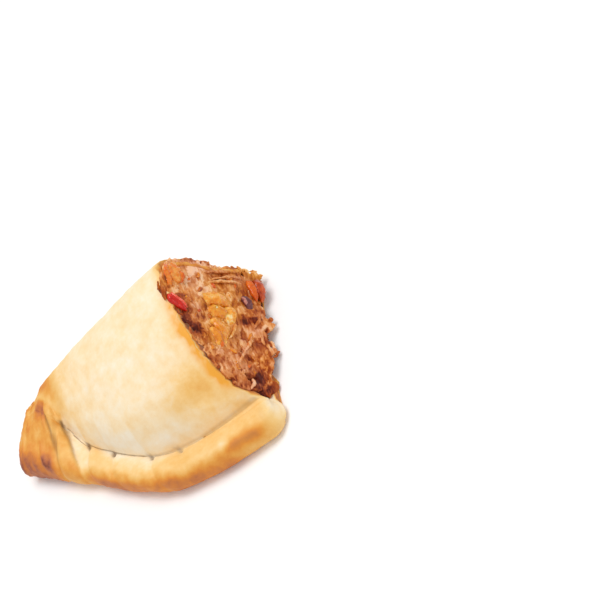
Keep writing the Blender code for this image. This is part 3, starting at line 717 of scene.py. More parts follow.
# Baked wheat dough: pale cream where it only dried, golden to dark brown where it
# browned. The surface is satin, a little dusty, with fine flaky grain.
BAKE_COLOURS = (
    (0.00, "FBEFD8"), (0.15, "FAE1B6"), (0.30, "F6CE8C"), (0.45, "EFBB68"),
    (0.60, "E6A040"), (0.72, "DC8628"), (0.84, "C47234"), (0.93, "A65A38"), (1.00, "723A24"),
)
# Layers over the browning: crumb on the cut, soaked oil, and painted shade in the groove and seams, which
# on the cut edge is juice and painted shade under the mince
COATINGS = (("crumb", 0.35, "F9D284"), ("oil", 0.9, "F0A42C"), ("crease_shade_and_juice", 0.85, "68401C"))
dough, tree, shader, place, (baked, *layers) = new_material(
    "baked wheat dough", ["bake"] + [name for name, _, _ in COATINGS], Roughness=0.58)
uneven = mottle(tree, place, 4 * MM, -0.085, 0.085, detail=6.0, roughness=0.65)
browning = add_node(tree, "ShaderNodeMath", {0: baked, 1: uneven}, operation="ADD")
colour = add_node(tree, "ShaderNodeValToRGB", {"Fac": browning}, BAKE_COLOURS)
for layer, (_, strength, code) in zip(layers, COATINGS):
    share = add_node(tree, "ShaderNodeMath", {0: layer, 1: strength}, operation="MULTIPLY",
                     use_clamp=True)
    colour = add_node(tree, "ShaderNodeMix", {"Factor": share, 6: colour, 7: linear(code)},
                      data_type="RGBA")
finish_surface(tree, shader, colour, place, 0.9 * MM, 4.0, 0.35, 0.15 * MM)
crust_mesh.materials.append(dough)
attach(crust, "root")
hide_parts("crust")

# Beef filling: minced beef stewed with onion and oil, packed into the crust and cut
# through with it. A core fills the crust's hollow. At the cut it ends in a face of lumps
# and crumbs that are fused together, a little proud of the crust, with loose bits on it.
FACE_PROUD = 0.5 * MM
BASE_PROUD = 2.3 * MM
BASE_PROUD_HEIGHT = 8 * MM
BASE_PROUD_FROM = (-50 * MM, -36 * MM)
BASE_PROUD_TO = (-10 * MM, -17 * MM)
FRONT_WAVE = 1.0 * MM
FRONT_WAVE_SIZE = 8 * MM
# Holes between the crumbs: place on the face (across, up), radius and depth
PITS = (
    (-28.4, 22.8, 2.2, 3.0), (-42.6, 8.2, 2.6, 2.6), (-16.9, 25.7, 0.9, 1.5), (-8.0, 18.4, 0.8, 1.2),
    (-7.5, 16.6, 0.8, 1.2), (-23.2, 13.3, 0.9, 1.5), (-22.1, 9.7, 0.9, 1.6), (-20.6, 7.0, 0.8, 1.4),
    (-26.3, 9.9, 0.8, 1.4), (-31.0, 8.4, 0.7, 1.2), (-13.5, 20.6, 0.6, 1.0), (-26.7, 27.6, 0.8, 1.6),
    (-35.5, 12.5, 0.7, 1.2), (-38.5, 16.5, 0.8, 1.3), (-33.0, 19.0, 0.6, 1.0),
)
CORE_GAP = 0.35 * MM
CORE_RINGS = 12
CORE_SUNK = 2.4 * MM
FACE_MIDDLE = np.array([-22 * MM, 13 * MM])
# The crumbly face laps over the crust's cut edge on the dome's side. Round the crown, the
# fold and the base the crust is torn back, and the face's own edge shows.
LAP = 0.86
BASE_LAP = 0.45
DIP_LAP = 0.6
MOST_LAP = 0.96


def pit_depth(y, z):
    """Depth of the holes between the crumbs at a place on the cut."""
    depth = np.zeros_like(y)
    for across, up, radius, deep in PITS:
        nearness = 1 - np.hypot(y - across * MM, z - up * MM) / (radius * MM)
        depth += deep * MM * np.clip(1.6 * nearness, 0, 1)
    return depth


def on_face(places, proud):
    """Points of the cut face in the loft's frame, standing proud of the crust's cut."""
    y, z = places[:, 0], places[:, 1]
    wave = np.array([noise.noise(Vector((b, c, 7)) / FRONT_WAVE_SIZE) for b, c in places])
    bulge = smoothstep(*BASE_PROUD_FROM, y) * smoothstep(*BASE_PROUD_TO, y)
    out = proud + BASE_PROUD * bulge * np.clip(1 - z / BASE_PROUD_HEIGHT, 0, 1)
    out = out + FRONT_WAVE * wave - pit_depth(y, z)
    return np.stack([cut_x(y, z) + out, y, z], 1)


def face_rings(edge, steps, prouds):
    """Rings on the face, from near an outline to near its middle, each standing so proud."""
    shares = [step / steps for step in range(steps - len(prouds), steps)]
    return [on_face(edge * (1 - t) + FACE_MIDDLE * t, proud) for t, proud in zip(shares, prouds)]


def towards_middle(edge, inset):
    """Outline on the face drawn in by a distance."""
    inward = FACE_MIDDLE - edge
    return edge + inward * inset / np.linalg.norm(inward, axis=1, keepdims=True)


core_rings = hollow_rings(CORE_GAP)
core_edge = core_rings[0][:, 1:]
crust_edge = outer_rings[0][:, 1:]
sunk = [-CORE_SUNK * smoothstep(0, 0.15, step / CORE_RINGS) for step in range(1, CORE_RINGS)]
core_mesh = closed_loft("beef_core", face_rings(core_edge, CORE_RINGS, sunk)[::-1] + core_rings)
core = new_object("beef_core", core_mesh)
# The core's dark tone is painted shade: it shows only deep in the crevices
store(core_mesh, "tone", np.full(len(core_mesh.vertices), 0.1))

uneven_lap = 0.08 * grain(core_edge[:, [0, 0, 1]] * [0, 1, 1], 3 * MM, seed=12)
lap = np.where(ring_places > DOME_PLACES, BASE_LAP, LAP) + uneven_lap - DIP_LAP * fold_dip
by_crimp = smoothstep(CRIMP_PLACES - 1, CRIMP_PLACES + 8, ring_places)
by_crimp *= np.where(ring_places > DOME_PLACES, smoothstep(*BASE_PROUD_FROM, core_edge[:, 0]), 1.0)
lap = (np.clip(lap, 0, MOST_LAP) * by_crimp)[:, None]
face_edge = core_edge + (crust_edge - core_edge) * lap
face_edge[:, 1] = np.maximum(face_edge[:, 1], 0.5 * MM)

# Stewed minced beef: brown crumbs glazed with orange oil, so it is moist, with small
# highlights. Each crumb has its own tone, from dark gravy to tan. Patches are pinkish
# where the meat is bare and golden where onion has stained it. Crevices, pits and the
# dome's edge get painted shade, and what stands out is painted lighter.
MINCE_COLOURS = (
    (0.00, "561604"), (0.16, "7C2A06"), (0.36, "AC4C12"),
    (0.56, "CC7026"), (0.76, "E4944C"), (1.00, "FAC488"),
)
PINK_COLOURS = (
    (0.00, "4E140A"), (0.16, "722A14"), (0.36, "A04C26"),
    (0.56, "C07042"), (0.76, "DE966C"), (1.00, "F8C6A4"),
)
GOLD_COLOURS = (
    (0.00, "5A2404"), (0.20, "8E4408"), (0.45, "C4701E"),
    (0.70, "DE903A"), (0.88, "EEAC5C"), (1.00, "FACC90"),
)
FIBRE_LEAN = 0.24
FIBRE_STRETCH = 4.0
mince, tree, shader, place, (tone, painted_shading_and_dark_spots, pink, gold) = new_material(
    "stewed minced beef", ("tone", "painted_shading_and_dark_spots", "pink", "gold"), Roughness=0.42, IOR=1.38,
    Specular_IOR_Level=0.15, Coat_Weight=0.08, Coat_Roughness=0.16)
along_fibres = add_node(tree, "ShaderNodeMapping", {
    "Vector": place, "Rotation": (FIBRE_LEAN, 0, 0), "Scale": (1, FIBRE_STRETCH, 1)}, vector_type="TEXTURE")
small_patches = mottle(tree, along_fibres, 0.7 * MM, -0.17, 0.23)
broad_patches = mottle(tree, place, 5 * MM, -0.13, 0.13, detail=1.0)
for part in (small_patches, broad_patches, painted_shading_and_dark_spots):
    tone = add_node(tree, "ShaderNodeMath", {0: tone, 1: part}, operation="ADD")
colour = add_node(tree, "ShaderNodeValToRGB", {"Fac": tone}, MINCE_COLOURS)
for layer, size, low, high, stops in ((pink, 3.2 * MM, -0.2, 0.75, PINK_COLOURS),
                                      (gold, 2.2 * MM, -0.5, 0.25, GOLD_COLOURS)):
    share = add_node(tree, "ShaderNodeMath", {0: layer, 1: mottle(tree, place, size, low, high)},
                     operation="ADD", use_clamp=True)
    stained = add_node(tree, "ShaderNodeValToRGB", {"Fac": tone}, stops)
    colour = add_node(tree, "ShaderNodeMix", {"Factor": share, 6: colour, 7: stained}, data_type="RGBA")
finish_surface(tree, shader, colour, along_fibres, 0.6 * MM, 3.0, 0.6, 0.35 * MM)

# Patches of the face: place (across, up), radius and amount. Golden and pinkish ones are
# stains. The dark ones are darker patches, and painted shade where they lie on the pits;
# those with a negative amount are lighter, and the small one at the low end is a painted
# highlight.
GOLD_SPOTS = (
    (-17, 16, 6.5, 1.0), (-27, 16, 5.5, 0.95), (-9, 19, 2.5, 0.6), (-9, 28, 4, 0.8), (-14, 31, 3, 0.6),
    (-33, 19, 3, 0.4), (-1.5, 7, 3, 0.9), (-3, 4.8, 3, 0.9), (-10, 11, 3, 0.4), (-3, 12, 3, 0.6),
    (-49, 7, 2, 0.6),
)
PINK_SPOTS = (
    (-3.5, 23, 4, 0.7), (-26, 26, 4, 0.6), (-27, 8.5, 5, 0.5), (-36, 17, 5, 0.4), (-44, 9, 5, 0.5),
    (-10, 22, 5, 0.7), (-7, 10, 3, 0.5), (-22, 22, 3.5, 0.5),
)
DARK_AND_PIT_SHADE_SPOTS = (
    (-45, 8, 5, 0.24), (-28.4, 22.8, 2.8, 0.34), (-47.5, 6, 3, 0.20), (-17, 25.5, 2, 0.22),
    (-22.5, 9.5, 3, 0.20), (-27, 27.5, 3, 0.25), (-14, 32, 2.2, 0.12), (-42.6, 8.2, 2.4, 0.2),
    (-44.5, 7.0, 1.6, -0.16), (-34, 2.5, 2.5, 0.1), (-49, 5, 3.5, 0.3), (-10, 24, 8, -0.3),
    (-18.6, 20.4, 1.6, 0.2), (-20.5, 18.7, 1.6, 0.2), (-24, 20, 4, -0.06), (-31, 3.5, 4.5, 0.14),
    (-20, 3.5, 4, 0.10), (-12.7, 24.5, 3.5, -0.14), (-38, 11, 3, -0.09), (-32, 12, 9, -0.10),
    (-17, 17, 5, -0.06), (-30.5, 25.5, 2.6, 0.12), (-38.5, 19.5, 2.6, 0.14), (-45.5, 12.5, 2.6, 0.14),
    (-3, 4.8, 2.5, -0.15),
)
PIT_SHADE = 0.3
DEEPEST = 3 * MM
RIM_SHADE = 0.2
RIM_SHADE_REACH = (2.0 * MM, 0.3 * MM)
RIM_SHADE_ABOVE = (6 * MM, 10 * MM)
RIM_SHADE_BESIDE = (-10 * MM, -16 * MM)


def read(items, name, width=1, kind=float):
    """Rows of numbers read from a mesh's vertices, edges or attribute values."""
    flat = np.empty(len(items) * width, kind)
    items.foreach_get(name, flat)
    return flat.reshape(-1, width)


def face_reach(places):
    """Distances from the face's middle: of places on it, and of the outline beyond them."""
    offset = places - FACE_MIDDLE
    edge = crust_edge - FACE_MIDDLE
    rows = sorted(zip(np.arctan2(edge[:, 1], edge[:, 0]), np.linalg.norm(edge, axis=1)))
    outline = np.interp(np.arctan2(offset[:, 1], offset[:, 0]), *zip(*rows))
    return np.linalg.norm(offset, axis=1), outline


def rim_shade(places):
    """Painted shade that darkens the mince along the dome's edge, under the crust's rim."""
    length, outline = face_reach(places)
    shade = RIM_SHADE * smoothstep(*RIM_SHADE_REACH, outline - length)
    return shade * smoothstep(*RIM_SHADE_ABOVE, places[:, 1]) * smoothstep(*RIM_SHADE_BESIDE, places[:, 0])


def spots(points, table):
    """Sum of soft spots of a table at points of the face."""
    total = np.zeros(len(points))
    for across, up, radius, amount in table:
        total += amount * bell(np.hypot(points[:, 1] - across * MM, points[:, 2] - up * MM) / (radius * MM))
    return total


def stain(mesh, relief_shading):
    """Store what colours the mince: its patches, its darker spots, painted shade in its crevices, pits and
    along the dome's rim, and painted light where it stands out.
    """
    points = read(mesh.vertices, "co", 3) - TO_PART
    store(mesh, "pink", spots(points, PINK_SPOTS))
    store(mesh, "gold", np.clip(spots(points, GOLD_SPOTS), 0, 1.1))
    deep = np.clip(pit_depth(points[:, 1], points[:, 2]) / DEEPEST, 0, 1)
    shade = spots(points, DARK_AND_PIT_SHADE_SPOTS) + PIT_SHADE * deep + rim_shade(points[:, 1:])
    store(mesh, "painted_shading_and_dark_spots", relief_shading - shade)


# Painted shade: the core is darker still all over
stain(core_mesh, -0.5)
core_mesh.materials.append(mince)
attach(core, "root")
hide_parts("beef_filling")

# The face itself: a slab behind the crumbs, lumps of 2 to 4 mm and crumbs of 1 to 2 mm,
# which lie in beds on the face and are made one skin by a fine remesh.
BED_RINGS = 44
BED_SIDES = (2.4 * MM, 1.6 * MM, 0.8 * MM)
OPEN_PIT = 1.2 * MM
LOWEST_CRUMB = 0.25 * MM
FACE_VOXEL = 0.25 * MM
SLAB_RINGS = 12
SLAB_SUNK = 0.5 * MM
SMOOTH_ROUNDS = 5
RELIEF_ROUNDS = 24
TONE_ROUNDS = 2
HELD_WITHIN = 0.5 * MM
PRESSED_BACK = 0.8
FIBRE_TURN = (-0.65, 0.65)
RELIEF_SHADING_LIMITS = (-0.42, 0.16)
GRAIN_SIZES = ("Spacing", "Smallest", "Largest", "Lump Size", "Roughness")
GRAIN_SHAPES = ("Stretch", "Flatness", "Tilt", "Least Turn", "Most Turn", "Lowest Tone", "Highest Tone")


def crumb_bed(name, inset, proud):
    """Open patch under a layer of crumbs, with no crumbs over the holes."""
    edge = towards_middle(face_edge, inset)
    rings = [on_face(edge, proud - depth) for depth in BED_SIDES]
    rings += face_rings(edge, BED_RINGS, [proud] * BED_RINGS)
    points = np.concatenate(rings)
    mesh = bpy.data.meshes.new(name)
    mesh.from_pydata((points + TO_PART).tolist(), [], ring_faces(len(rings), len(edge)))
    covered = np.arange(len(points)) >= len(BED_SIDES) * len(edge)
    hole = pit_depth(points[:, 1], points[:, 2]) > OPEN_PIT
    store(mesh, "open", np.where(hole | ~covered, 0.0, 1.0))
    return mesh


def scatter_tree(name):
    """Node tree that strews uneven grains over a bed and gives each its tone."""
    tree = bpy.data.node_groups.new(name, "GeometryNodeTree")
    labels = {"Geometry": "NodeSocketGeometry", "Seed": "NodeSocketInt", "Material": "NodeSocketMaterial"}
    labels.update({label: "NodeSocketFloat" for label in GRAIN_SIZES + GRAIN_SHAPES})
    for label, kind in labels.items():
        tree.interface.new_socket(label, in_out="INPUT", socket_type=kind)
    tree.interface.new_socket("Geometry", in_out="OUTPUT", socket_type="NodeSocketGeometry")
    given = add_node(tree, "NodeGroupInput").outputs
    seed = given["Seed"]
    opened = add_node(tree, "GeometryNodeInputNamedAttribute", {"Name": "open"}, data_type="FLOAT")
    points = add_node(tree, "GeometryNodeDistributePointsOnFaces", {
        "Mesh": given["Geometry"], "Distance Min": given["Spacing"], "Density Max": 4e6,
        "Density Factor": opened, "Seed": seed}, distribute_method="POISSON")
    size = add_node(tree, "FunctionNodeRandomValue", {
        2: given["Smallest"], 3: given["Largest"], "Seed": seed}, data_type="FLOAT")
    longer = add_node(tree, "ShaderNodeMath", {0: size, 1: given["Stretch"]}, operation="MULTIPLY")
    flatter = add_node(tree, "ShaderNodeMath", {0: size, 1: given["Flatness"]}, operation="MULTIPLY")
    scale = add_node(tree, "ShaderNodeCombineXYZ", {"X": longer, "Y": size, "Z": flatter})
    back = add_node(tree, "ShaderNodeMath", {0: given["Tilt"], 1: -1.0}, operation="MULTIPLY")
    least = add_node(tree, "ShaderNodeCombineXYZ", {"X": back, "Y": back, "Z": given["Least Turn"]})
    most = add_node(tree, "ShaderNodeCombineXYZ", {
        "X": given["Tilt"], "Y": given["Tilt"], "Z": given["Most Turn"]})
    spin = add_node(tree, "FunctionNodeRandomValue", {0: least, 1: most, "Seed": seed},
                    data_type="FLOAT_VECTOR")
    turn = add_node(tree, "FunctionNodeRotateRotation", {
        "Rotation": points.outputs["Rotation"], "Rotate By": spin}, rotation_space="LOCAL")
    ball = add_node(tree, "GeometryNodeMeshIcoSphere", {"Radius": 1.0, "Subdivisions": 3})
    copies = add_node(tree, "GeometryNodeInstanceOnPoints", {
        "Points": points, "Instance": ball, "Rotation": turn, "Scale": scale})
    tone = add_node(tree, "FunctionNodeRandomValue", {
        2: given["Lowest Tone"], 3: given["Highest Tone"], "Seed": 5}, data_type="FLOAT")
    toned = add_node(tree, "GeometryNodeStoreNamedAttribute", {
        "Geometry": copies, "Name": "tone", "Value": tone}, data_type="FLOAT", domain="INSTANCE")
    real = add_node(tree, "GeometryNodeRealizeInstances", {"Geometry": toned})
    place = add_node(tree, "GeometryNodeInputPosition")
    fineness = add_node(tree, "ShaderNodeMath", {0: 1.0, 1: given["Lump Size"]}, operation="DIVIDE")
    lumps = add_node(tree, "ShaderNodeTexNoise", {
        "Vector": place, "Scale": fineness, "Detail": 2.0, "Roughness": 0.6})
    centred = add_node(tree, "ShaderNodeVectorMath", {
        0: lumps.outputs["Color"], 1: (0.5, 0.5, 0.5)}, operation="SUBTRACT")
    push = add_node(tree, "ShaderNodeVectorMath", {0: centred, "Scale": given["Roughness"]},
                    operation="SCALE")
    pushed = add_node(tree, "GeometryNodeSetPosition", {"Geometry": real, "Offset": push})
    smooth = add_node(tree, "GeometryNodeSetShadeSmooth", {"Geometry": pushed})
    dressed = add_node(tree, "GeometryNodeSetMaterial", {"Geometry": smooth, "Material": given["Material"]})
    add_node(tree, "NodeGroupOutput", {"Geometry": dressed})
    return tree


def evaluated_mesh(holder):
    """Plain mesh of an object with its modifiers, which are then removed."""
    bpy.context.view_layer.update()
    graph = bpy.context.evaluated_depsgraph_get()
    made = bpy.data.meshes.new_from_object(holder.evaluated_get(graph))
    holder.modifiers.clear()
    holder.data = made
    return made


def strew(name, material, seed, inset, proud, sizes, shapes):
    """Object of grains on a bed set in and proud by so many mm, with their sizes in mm."""
    holder = new_object(name, crumb_bed(name + "_bed", inset * MM, FACE_PROUD + proud * MM))
    modifier = holder.modifiers.new("scatter", "NODES")
    modifier.node_group = crumb_tree
    values = {label: size * MM for label, size in zip(GRAIN_SIZES, sizes)}
    values.update(zip(GRAIN_SHAPES, shapes))
    values.update({"Seed": seed, "Material": material})
    for item in crumb_tree.interface.items_tree:
        if item.in_out == "INPUT" and item.name in values:
            modifier[item.identifier] = values[item.name]
    made = evaluated_mesh(holder)
    places = read(made.vertices, "co", 3)
    places[:, 2] = np.maximum(places[:, 2], LOWEST_CRUMB)
    made.vertices.foreach_set("co", places.ravel())
    return holder


def drop_scraps(mesh):
    """Keep the largest connected body of a mesh."""
    shape = bmesh.new()
    shape.from_mesh(mesh)
    waiting = set(shape.verts)
    bodies = []
    while waiting:
        edge = [waiting.pop()]
        body = set(edge)
        while edge:
            vert = edge.pop()
            near = {link.other_vert(vert) for link in vert.link_edges} & waiting
            waiting -= near
            body |= near
            edge += near
        bodies.append(body)
    largest = max(bodies, key=len)
    loose = [vert for vert in shape.verts if vert not in largest]
    bmesh.ops.delete(shape, geom=loose, context="VERTS")
    shape.to_mesh(mesh)
    shape.free()


def cut_flat(points):
    """Points of the face in the part's frame, pressed back to where the knife and crust end."""
    points = points - TO_PART
    length, outline = face_reach(points[:, 1:])
    past = PRESSED_BACK * np.clip(length - outline + HELD_WITHIN, 0, None)
    points[:, 1:] -= (points[:, 1:] - FACE_MIDDLE) * (past / np.maximum(length, MM))[:, None]
    level = on_face(points[:, 1:], FACE_PROUD)[:, 0] + pit_depth(points[:, 1], points[:, 2])
    points[:, 0] -= PRESSED_BACK * np.clip(points[:, 0] - level, 0, None)
    return points + TO_PART


def average_neighbours(values, pairs, rounds):
    """Values at the points of a mesh, averaged with their neighbours again and again."""
    count = np.bincount(pairs.ravel(), minlength=len(values))[:, None]
    for _ in range(rounds):
        total = np.zeros_like(values)
        np.add.at(total, pairs[:, 0], values[pairs[:, 1]])
        np.add.at(total, pairs[:, 1], values[pairs[:, 0]])
        values = 0.5 * values + 0.5 * total / np.maximum(count, 1)
    return values


crumb_tree = scatter_tree("mince scatter")
slab_rings = face_rings(face_edge, SLAB_RINGS, [-SLAB_SUNK] * (SLAB_RINGS - 1))[::-1]
slab_rings += [on_face(face_edge, -0.1 * MM), on_face(towards_middle(core_edge, 1 * MM), -1.0 * MM),
               on_face(towards_middle(core_edge, 2 * MM), -3.6 * MM)]
slab = new_object("slab", closed_loft("slab", slab_rings))
store(slab.data, "tone", np.full(len(slab.data.vertices), 0.35))
lumps = strew("lumps", mince, 3, 1.4, -1.1, (2.8, 1.2, 2.3, 2.0, 2.4),
              (1.5, 0.75, 0.7, -1.0, 1.0, 0.2, 0.8))
crumbs = strew("crumbs", mince, 8, 0.9, -0.3, (1.35, 0.38, 0.75, 1.5, 1.5),
               (2.8, 0.7, 0.22, *FIBRE_TURN, 0.2, 0.8))
joined = bmesh.new()
source_points, source_tones = [], []
for layer in (slab, lumps, crumbs):
    source_points.append(read(layer.data.vertices, "co", 3))
    source_tones.append(read(layer.data.attributes["tone"].data, "value", 1, np.float32))
    joined.from_mesh(layer.data)
    bpy.data.objects.remove(layer, do_unlink=True)
mince_face = new_object("mince_face", bpy.data.meshes.new("mince_face"))
joined.to_mesh(mince_face.data)
joined.free()
remesh = mince_face.modifiers.new("fuse", "REMESH")
remesh.mode = "VOXEL"
remesh.voxel_size = FACE_VOXEL
face_mesh = evaluated_mesh(mince_face)
drop_scraps(face_mesh)

source_points, source_tones = np.concatenate(source_points), np.concatenate(source_tones)
nearest = KDTree(len(source_points))
for index, co in enumerate(source_points):
    nearest.insert(co, index)
nearest.balance()
face_points = read(face_mesh.vertices, "co", 3)
face_tones = np.array([source_tones[nearest.find(co)[1]] for co in face_points])
pairs = read(face_mesh.edges, "vertices", 2, np.int32)
face_points = cut_flat(average_neighbours(face_points, pairs, SMOOTH_ROUNDS))
face_points[:, 2] = np.maximum(face_points[:, 2], LOWEST_CRUMB)
face_mesh.vertices.foreach_set("co", face_points.ravel())
face_mesh.update()
# Painted light and shade from the relief: what stands out of the softened face is painted lighter, what
# lies below it darker
softened = average_neighbours(face_points, pairs, RELIEF_ROUNDS)
standing = ((face_points - softened) * read(face_mesh.vertices, "normal", 3)).sum(1) / MM
store(face_mesh, "tone", average_neighbours(face_tones, pairs, TONE_ROUNDS)[:, 0])
stain(face_mesh, np.clip(standing * 1.2, *RELIEF_SHADING_LIMITS))
face_mesh.materials.clear()
face_mesh.materials.append(mince)
face_mesh.shade_smooth()
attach(mince_face, "root")

# Strands of meat that lie loose on the face
strands = strew("mince_strands", mince, 21, 0.9, 0.1, (2.8, 0.28, 0.46, 2.4, 2.2),
                (4.5, 0.9, 0.35, *FIBRE_TURN, 0.35, 0.75))
strands.data.vertices.foreach_set("co", cut_flat(read(strands.data.vertices, "co", 3)).ravel())
stain(strands.data, 0.05)
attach(strands, "root")

# Red pepper: a strip of cooked sweet pepper, its skin outwards, pressed into the mince by
# the crust's edge. It is lofted along a spine that lies on the cut face.
FACE_OUT = np.array([math.cos(CUT_SLANT), 0, math.sin(CUT_SLANT)])
STRIP_RINGS = 22
STRIP_SIDES = 28
STRIP_SQUARENESS = 3.0
STRIP_LUMPS = (1.7 * MM, 1.3 * MM)
SIDE_SHADE = 0.13


def strip(tone, seed, spine, widths, depths, lean=0.0, cup=0.0, rough=0.12):
    """Tone and rings of a rounded strip; its spine lists (across, up, proud), all in mm."""
    places = np.array(spine, float)
    places = np.concatenate([[2 * places[0] - places[1]], places, [2 * places[-1] - places[-2]]])
    t = np.linspace(0, 1, STRIP_RINGS)
    middle = spline(places, t * (len(spine) - 1 - 1e-6)) * MM
    points = np.stack([cut_x(middle[:, 0], middle[:, 1]), middle[:, 0], middle[:, 1]], 1)
    points = points + FACE_OUT * middle[:, 2:]
    tangents = np.gradient(points, axis=0)
    tangents /= np.linalg.norm(tangents, axis=1, keepdims=True)
    end_round = np.sqrt(np.clip(1 - np.abs(2 * t - 1) ** 5, 0.02, 1))
    wide, deep = (np.interp(t, np.linspace(0, 1, len(sizes)), sizes) * MM / 2 * end_round
                  for sizes in (widths, depths))
    angle = np.linspace(0, 2 * math.pi, STRIP_SIDES, endpoint=False)
    across, above = (np.sign(wave) * np.abs(wave) ** (2 / STRIP_SQUARENESS)
                     for wave in (np.cos(angle), np.sin(angle)))
    rings = []
    for point, tangent, half_width, half_depth in zip(points, tangents, wide, deep):
        side = np.cross(FACE_OUT, tangent)
        side /= np.linalg.norm(side)
        upper = np.cross(tangent, side)
        top = upper * math.cos(lean) - side * math.sin(lean)
        side = side * math.cos(lean) + upper * math.sin(lean)
        ring = point + np.outer(across * half_width, side)
        ring += np.outer(above * half_depth - cup * MM * across**2, top)
        ring += top * rough * MM * grain(ring, STRIP_LUMPS[0], seed=seed)[:, None]
        ring += side * rough * MM * grain(ring, STRIP_LUMPS[1], seed=seed + 1)[:, None]
        rings.append(ring)
    return tone, rings


def strips_object(name, material, strips):
    """One object of several strips, each with its tone, with painted shade darker at its sides."""
    joined = bmesh.new()
    tones = []
    for tone, rings in strips:
        part = closed_loft("strip", rings)
        joined.from_mesh(part)
        side = 1 - np.sin(np.linspace(0, 2 * math.pi, STRIP_SIDES, endpoint=False))
        tones.append(tone - SIDE_SHADE * np.concatenate([np.tile(side, STRIP_RINGS), [1, 1]]))
        bpy.data.meshes.remove(part)
    mesh = bpy.data.meshes.new(name)
    joined.to_mesh(mesh)
    joined.free()
    mesh.shade_smooth()
    store(mesh, "tone", np.concatenate(tones))
    mesh.materials.append(material)
    return new_object(name, mesh)


def wet_food(name, colours, speckle, size, roughness, scatter, radius, height):
    """Moist, slightly translucent material whose colour follows the tone attribute."""
    material, tree, shader, place, (tone,) = new_material(
        name, ["tone"], Roughness=roughness, Subsurface_Weight=scatter, Subsurface_Radius=radius,
        Subsurface_Scale=1 * MM, IOR=1.38, Coat_Weight=0.25, Coat_Roughness=0.1)
    speckles = mottle(tree, place, size, -speckle, speckle)
    mottled = add_node(tree, "ShaderNodeMath", {0: tone, 1: speckles}, operation="ADD")
    colour = add_node(tree, "ShaderNodeValToRGB", {"Fac": mottled}, colours)
    finish_surface(tree, shader, colour, place, 0.6 * MM, 3.0, 0.5, height)
    return material


# Cooked red pepper: thin glossy skin over wet flesh, deep red, with a paler streak painted along its top as
# a highlight.
RED_COLOURS = ((0.0, "7A0400"), (0.3, "B00C02"), (0.55, "D42008"), (0.8, "EA4A30"), (1.0, "F88870"))
red_material = wet_food("cooked red pepper", RED_COLOURS, 0.22, 1.4 * MM, 0.24, 0.15,
                        (1.0, 0.12, 0.06), 0.15 * MM)
red_strip = strips_object("red_pepper_skin", red_material, (
    strip(0.5, 31, ((-18.3, 30.5, 0.7), (-20.0, 29.4, 1.0), (-21.4, 27.5, 1.1), (-23.2, 25.4, 0.8)),
          (1.3, 2.5, 2.4, 1.2), (1.3, 1.6, 1.6, 1.2), lean=0.35, cup=0.25),
    # The thin strip along the top is paler red: a painted highlight
    strip(0.85, 33, ((-18.0, 29.9, 1.2), (-19.6, 28.6, 1.7), (-21.0, 26.8, 1.7), (-22.3, 25.3, 1.2)),
          (0.5, 0.8, 0.9, 0.5), (0.8, 0.9, 0.9, 0.6), lean=0.6),
))
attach(red_strip, "root")
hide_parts("red_pepper_strip")

# Orange pepper: two pieces of soft cooked sweet pepper, the one at the crown golden, the
# one by the fold a deep orange-red. Each is a few strips of flesh that cling together.
ORANGE_COLOURS = (
    (0.0, "8A2200"), (0.25, "C84A04"), (0.5, "E26A12"), (0.7, "EA882A"), (0.85, "F0A44C"), (1.0, "F8C488"),
)
orange_material = wet_food("cooked orange pepper", ORANGE_COLOURS, 0.2, 1.5 * MM, 0.26, 0.2,
                           (1.0, 0.35, 0.1), 0.18 * MM)
orange_upper = strips_object("orange_pepper_crown", orange_material, (
    strip(0.72, 41, ((-5.4, 28.6, 0.0), (-8.2, 28.3, 0.4), (-11.0, 27.8, 0.5), (-13.0, 27.4, 0.0)),
          (2.6, 4.4, 4.2, 2.4), (2.0, 2.4, 2.4, 1.8), lean=0.15, rough=0.5),
    strip(0.6, 43, ((-6.5, 30.1, 0.0), (-9.5, 30.0, 0.4), (-12.5, 29.8, 0.3), (-15.0, 29.4, 0.0)),
          (1.5, 2.4, 2.4, 1.4), (1.5, 1.8, 1.8, 1.2), lean=-0.2, rough=0.4),
    strip(0.5, 45, ((-8.6, 26.6, 0.6), (-10.6, 26.2, 1.1), (-12.8, 26.4, 0.6)),
          (1.2, 1.7, 1.1), (1.5, 1.8, 1.3), lean=0.3, rough=0.2),
))
orange_side = strips_object("orange_pepper_fold", orange_material, (
    strip(0.24, 47, ((-5.2, 4.6, 0.4), (-7.4, 3.8, 1.1), (-10.0, 3.3, 1.1), (-12.8, 2.6, 0.3)),
          (2.2, 3.4, 3.0, 1.4), (2.0, 2.6, 2.4, 1.4), lean=-0.1, rough=0.25),
    strip(0.45, 49, ((-5.8, 6.8, 0.4), (-8.0, 6.0, 1.0), (-10.4, 5.2, 1.0), (-13.0, 4.2, 0.4)),
          (1.5, 2.4, 2.2, 1.2), (1.4, 1.8, 1.6, 1.0), lean=0.35, rough=0.25),
))
for piece, node in ((orange_upper, "orange_pepper_upper"), (orange_side, "orange_pepper_side")):
    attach(piece, "root")
    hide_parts(node)

